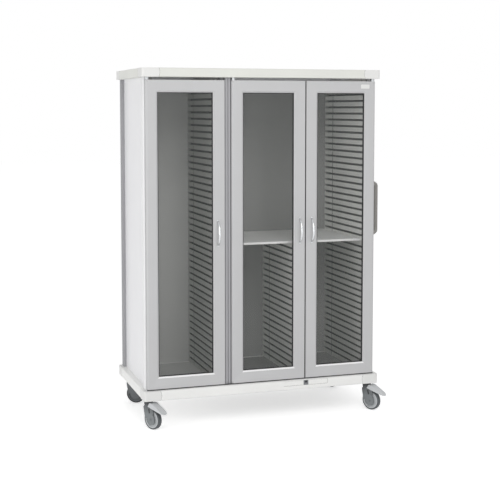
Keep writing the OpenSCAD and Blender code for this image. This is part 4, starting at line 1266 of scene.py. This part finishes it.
@dataclass
class Caster:
    """One swivel caster, with or without a brake pedal.

    Points are given as distance from the swivel axis and height above the floor.

    Args:
        place: The caster's name ending, such as fl for front left.
        braked: Whether it has a pedal.
        edge: Rounding of the fork's edges.
        hub_edge: Rounding of the hub's edges.
        bolt: Radius of the axle bolt's heads.
        leg_out: Distance from the wheel's middle to the legs' outer faces.
        bolt_out: How far the bolt's heads stand off the legs.
        back: Two points of the fork's back edge.
        front: Two points of the hood's front edge.
        race: Radius, lowest height and highest height of the dark race round the crown.
        race_edge: Rounding of the race.
        plug: Top and bottom of the dark plug of painted shade in each leg's slot.
        plug_size: Width of the plug, and how far it stands in and out of the leg's face.
        outline: The pedal's side view, clockwise.
        pedal_wide: Width of the pedal.
        pedal_skin: Thickness of the pedal's shell.
        pedal_edge: Rounding of the pedal's shell and of its barrel.
        core: Where the pedal's barrel ends, and its top.
        flats: Half of the flat that stays between the round ends' corners, on the plug and on
            the pedal's tip.
        stem: Foot of the swivel axis on the floor, in metres.
        axle: Middle of the wheel, in metres.
        axis: Direction of the axle.
        trail: Direction from the swivel axis to the axle.
    """

    place: str
    braked: bool
    edge: float = 1.6
    hub_edge: float = 0.8
    bolt: float = 5.5
    leg_out: float = 21.0
    bolt_out: float = 0.2
    back: tuple[tuple[float, float], ...] = ((-26.0, 152.0), (-14.0, 77.0))
    front: tuple[tuple[float, float], ...] = ((44.0, 148.0), (60.5, 60.0))
    race: tuple[float, float, float] = (25.4, 138.0, 152.2)
    race_edge: float = 1.0
    plug: tuple[tuple[float, float], ...] = ((20.5, 118.0), (27.0, 92.0))
    plug_size: tuple[float, float] = (8.0, 0.5)
    outline: tuple[tuple[float, float], ...] = (
        (26.5, 150.0), (44.0, 150.0), (80.0, 130.5), (109.0, 113.5), (124.0, 104.0),
        (131.4, 98.5), (131.4, 96.2), (40.0, 120.5), (13.0, 128.4))
    pedal_wide: float = 46.0
    pedal_skin: float = 1.5
    pedal_edge: tuple[float, float] = (0.5, 0.6)
    core: tuple[float, float] = (44.5, 148.8)
    flats: tuple[float, float] = (0.2, 0.5)
    stem: Vector = field(init=False)
    axle: Vector = field(init=False)
    axis: Vector = field(init=False)
    trail: Vector = field(init=False)

    def __post_init__(self) -> None:
        """Reads the places and directions of the caster's two joints."""
        joints = {joint["name"]: joint for joint in frame["joints"]}
        roll = joints[f"wheel_{self.place}_roll"]
        self.axle = Vector(roll["pos_m"])
        self.axis = Vector(roll["axis"]).normalized()
        self.stem = Vector(joints[f"caster_{self.place}_swivel"]["pos_m"])
        self.stem.z = 0
        self.trail = Vector((self.axle.x - self.stem.x, self.axle.y - self.stem.y, 0)).normalized()

    def build(self) -> None:
        """Builds and dresses the fork, the wheel and the pedal."""
        # The rear casters, under the cabinet, take painted shade
        grey = CASTER_GREY if self.braked else REAR_SHADED_NYLON
        self.fork(grey)
        self.wheel()
        swivel = f"caster_{self.place}"
        heads = [screw_head(f"axle_bolt_{self.place}_{tip}",
                            self.axle + self.axis * tip * (self.leg_out + self.bolt_out) * MM,
                            self.axis * tip, self.bolt) for tip in (-1, 1)]
        clad(joined(heads, f"axle_bolts_{self.place}"), grey, swivel)
        if self.braked:
            clad(self.pedal(), PEDAL_GREY, f"brake_{self.place}",
                 (f"pedal_{self.place}",))

    def fork(self, grey: Finish) -> None:
        """Trims the fork to its outline, and adds the race and the plugs of painted shade.

        Args:
            grey: The fork's finish.
        """
        node, swivel = f"fork_{self.place}", f"caster_{self.place}"
        fork = recast(node, f"{node}_moulded", 0)
        for ((top_s, top_z), (low_s, low_z)), way in ((self.back, 1), (self.front, -1)):
            along = self.trail * (low_z - top_z) + Vector((0, 0, top_s - low_s))
            slice_off(fork, self.stem + (self.trail * top_s + Vector((0, 0, top_z))) * MM,
                      along.normalized() * way)
        clad(soften(fork, self.edge, segments=3, clamp=True), grey, swivel,
             (node,))
        radius, low, high = self.race
        race = bar(f"bearing_race_{self.place}", self.stem + Vector((0, 0, (low + high) / 2)) * MM,
                   Vector((0, 0, 1)), radius, high - low, sides=64)
        clad(soften(race, self.race_edge), BEARING_GREY, swivel)
        # Dark plugs paint the shade in the legs' slots
        plugs = [self.slot_shade(tip) for tip in (-1, 1)]
        clad(joined(plugs, f"slot_plugs_{self.place}"), SEAL_RUBBER, swivel)

    def wheel(self) -> None:
        """Rounds the hub's edges and smooths the tyre."""
        wheel = f"wheel_{self.place}"
        node = f"hub_{self.place}"
        # The rear hubs and tyres take painted shade
        clad(recast(node, f"{node}_moulded", self.hub_edge),
             WHEEL_GREY if self.braked else REAR_SHADED_NYLON, wheel, (node,))
        node = f"tyre_{self.place}"
        tyre = recast(node, f"{node}_moulded", 0)
        alone(tyre)
        bpy.ops.object.shade_smooth_by_angle(angle=SMOOTH_UNDER)
        clad(tyre, TYRE_RUBBER if self.braked else REAR_SHADED_TYRE, wheel, (node,))

    def slot_shade(self, side: int) -> bpy.types.Object:
        """Builds the dark plug that paints the shade in the slot of one leg.

        Args:
            side: Which leg, -1 or 1.

        Returns:
            The plug, in place.
        """
        (top_s, top_z), (low_s, low_z) = self.plug
        wide, thick = self.plug_size
        half = math.hypot(low_s - top_s, top_z - low_z) / 2
        face = side * self.leg_out
        plug = block(f"slot_shade_{self.place}_{side}",
                     Vector((-wide / 2, face - thick, -half)) * MM,
                     Vector((wide / 2, face + thick, half)) * MM)
        with shaping(plug):
            pick(plug, Part.EDGE, lambda e: abs(reach_of(e).y) > thick * MM)
            bpy.ops.mesh.bevel(offset=(wide / 2 - self.flats[0]) * MM, segments=6)
        plug.rotation_euler.y = math.atan2(top_s - low_s, top_z - low_z)
        plug.location = Vector((top_s + low_s, 0, top_z + low_z)) / 2 * MM
        alone(plug)
        bpy.ops.object.transform_apply(location=True, rotation=True, scale=False)
        return self.turned(plug)

    def turned(self, piece: bpy.types.Object) -> bpy.types.Object:
        """Brings a piece built along +X to the caster's stem and turns it along its trail.

        Args:
            piece: The piece, built round the origin.

        Returns:
            The same piece, in place.
        """
        piece.location = self.stem
        piece.rotation_euler.z = math.atan2(self.trail.y, self.trail.x)
        alone(piece)
        bpy.ops.object.transform_apply(location=True, rotation=True, scale=False)
        return piece

    def pedal(self) -> bpy.types.Object:
        """Builds the pedal: a hollow shell round the barrel that turns on the pin.

        Returns:
            The pedal, in place.
        """
        half = self.pedal_wide / 2
        reach, heights = zip(*self.outline)
        tip = max(reach)
        shell = block(f"pedal_{self.place}_shell",
                      Vector((min(reach), -half, min(heights))) * MM,
                      Vector((tip, half, max(heights))) * MM)
        # Rounds the two upright corners of the tip, seen from above
        with shaping(shell):
            pick(shell, Part.EDGE, lambda e: all(v.co.x > (tip - 1) * MM for v in e.verts)
                 and abs(reach_of(e).z) > half * MM)
            bpy.ops.mesh.bevel(offset=(half - self.flats[1]) * MM, segments=8)
        # Cuts along every side of the outline but the blunt tip, which is the block's own end
        for (s, z), (next_s, next_z) in zip(self.outline, self.outline[1:] + self.outline[:1]):
            if next_s != s or z < next_z:
                slice_off(shell, Vector((s, 0, z)) * MM,
                          Vector((z - next_z, 0, next_s - s)).normalized())
        # Opens the underside and the end at the barrel
        with shaping(shell):
            pick(shell, Part.FACE, lambda f: f.normal.z < -0.5 or f.normal.x < -0.8)
            bpy.ops.mesh.delete(type="FACE")
        thicken(shell, self.pedal_skin, offset=-1, even=True)
        shell_edge, core_edge = self.pedal_edge
        self.turned(soften(shell, shell_edge, clamp=True))
        core = recast(f"pedal_{self.place}", f"pedal_{self.place}_core", 0)
        end, roof = self.core
        slice_off(core, self.stem + self.trail * end * MM, self.trail)
        slice_off(core, Vector((0, 0, roof * MM)), Vector((0, 0, 1)))
        return joined([shell, soften(core, core_edge, clamp=True)],
                      f"pedal_{self.place}_moulded")


@dataclass
class Studio:
    """The camera, the floor and the lamps.

    Args:
        eye: Where the camera stands, in millimetres from the cabinet's own middle.
        heading: Its turn towards +X, in degrees.
        pitch: How far it looks down, in degrees.
        lens: Focal length in millimetres.
        shift: Vertical shift of the picture.
        ground: Side of the floor, in metres.
        glow: Strength of the floor's own white, which only the eye sees.
        sky: Strength of the world's even light.
        lamp: Side of each square lamp, in metres.
        key: Power of the large lamp on the left, in watts.
        front: Power of the lamp behind the camera, in watts.
        fill: Power of the lamp on the front right, in watts.
        top: Power of the lamp high in front, in watts.
    """

    eye: tuple[float, float, float] = (-2011.55, -6229.38, 1774.1)
    heading: float = 18.108
    pitch: float = 4.5
    lens: float = 79.754
    shift: float = -0.1069
    ground: float = 60.0
    glow: float = 0.55
    sky: float = 0.5
    lamp: float = 3.0
    key: float = 60.0
    front: float = 42.0
    fill: float = 9.0
    top: float = 100.0

    def build(self) -> None:
        """Builds the camera first, then the floor and the light."""
        self.camera()
        self.backdrop()
        self.world()
        self.lamps()
        bpy.context.scene.view_settings.view_transform = "Standard"

    def camera(self) -> None:
        """Places the camera at the photograph's viewing angle."""
        bpy.ops.object.camera_add(
            location=at(*self.eye),
            rotation=(math.radians(90 - self.pitch), 0, math.radians(-self.heading)))
        camera = bpy.context.active_object
        camera.name = "camera"
        camera.data.lens = self.lens
        camera.data.shift_y = self.shift
        bpy.context.scene.camera = camera

    @staticmethod
    def seen_by_eye(tree: bpy.types.NodeTree) -> bpy.types.NodeSocket:
        """Tells the rays that the eye follows from those that carry light.

        Args:
            tree: The node tree that the nodes join.

        Returns:
            A socket that is 1 for rays of the camera, of gloss and of glass, and 0 for light.
        """
        path = add_node(tree, "ShaderNodeLightPath")
        gloss = add_node(tree, "ShaderNodeMath", {"operation": "MAXIMUM"},
                         {0: path.outputs["Is Camera Ray"], 1: path.outputs["Is Glossy Ray"]})
        return add_node(tree, "ShaderNodeMath", {"operation": "MAXIMUM"},
                        {0: gloss.outputs[0], 1: path.outputs["Is Transmission Ray"]}).outputs[0]

    def backdrop(self) -> None:
        """Lays a white floor that keeps the object's shadow."""
        bpy.ops.object.select_all(action="DESELECT")
        bpy.ops.mesh.primitive_plane_add(size=self.ground, location=(0, 0, 0))
        floor = bpy.context.active_object
        floor.name = "studio_floor"
        paper = bpy.data.materials.new("studio_paper")
        paper.use_nodes = True
        tree = paper.node_tree
        shader = tree.nodes["Principled BSDF"]
        shader.inputs["Base Color"].default_value = tint("#F4F4F4")
        shader.inputs["Roughness"].default_value = 0.9
        shader.inputs["Specular IOR Level"].default_value = 0.0
        shader.inputs["Emission Color"].default_value = (1, 1, 1, 1)
        lift = add_node(tree, "ShaderNodeMath", {"operation": "MULTIPLY", 1: self.glow},
                        {0: self.seen_by_eye(tree)})
        tree.links.new(lift.outputs[0], shader.inputs["Emission Strength"])
        floor.data.materials.append(paper)

    def world(self) -> None:
        """Makes the world white to the eye and an even light to surfaces."""
        world = bpy.data.worlds.new("studio_world")
        world.use_nodes = True
        tree = world.node_tree
        level = add_node(tree, "ShaderNodeMapRange", {"To Min": self.sky, "To Max": 1.0},
                         {"Value": self.seen_by_eye(tree)})
        sky = tree.nodes["Background"]
        sky.inputs["Color"].default_value = (1, 1, 1, 1)
        tree.links.new(level.outputs["Result"], sky.inputs["Strength"])
        bpy.context.scene.world = world

    def lamps(self) -> None:
        """Hangs four large soft lamps."""
        aim = Vector((0, 0, 1.0))
        for name, place, power in (("key", (-5.0, -1.6, 1.4), self.key),
                                   ("front", (-1.0, -6.6, 1.1), self.front),
                                   ("fill", (4.0, -4.2, 1.5), self.fill),
                                   ("top", (-0.5, -5.4, 4.6), self.top)):
            bpy.ops.object.light_add(
                type="AREA", location=place,
                rotation=(aim - Vector(place)).to_track_quat("-Z", "Y").to_euler())
            lamp = bpy.context.active_object
            lamp.name = f"lamp_{name}"
            lamp.data.shape = "SQUARE"
            lamp.data.size = self.lamp
            lamp.data.energy = power


def main() -> None:
    """Builds the studio and every sub-assembly."""
    logging.basicConfig(level=logging.INFO, format="%(name)s: %(message)s")
    Studio().build()
    assemblies = [Shell(), Interior(), *(Door(side) for side in Side), PushHandle(), Lock(),
                  Caster("fl", True), Caster("fr", True), Caster("rl", False),
                  Caster("rr", False)]
    for assembly in assemblies:
        assembly.build()


if __name__ == "__main__":
    main()
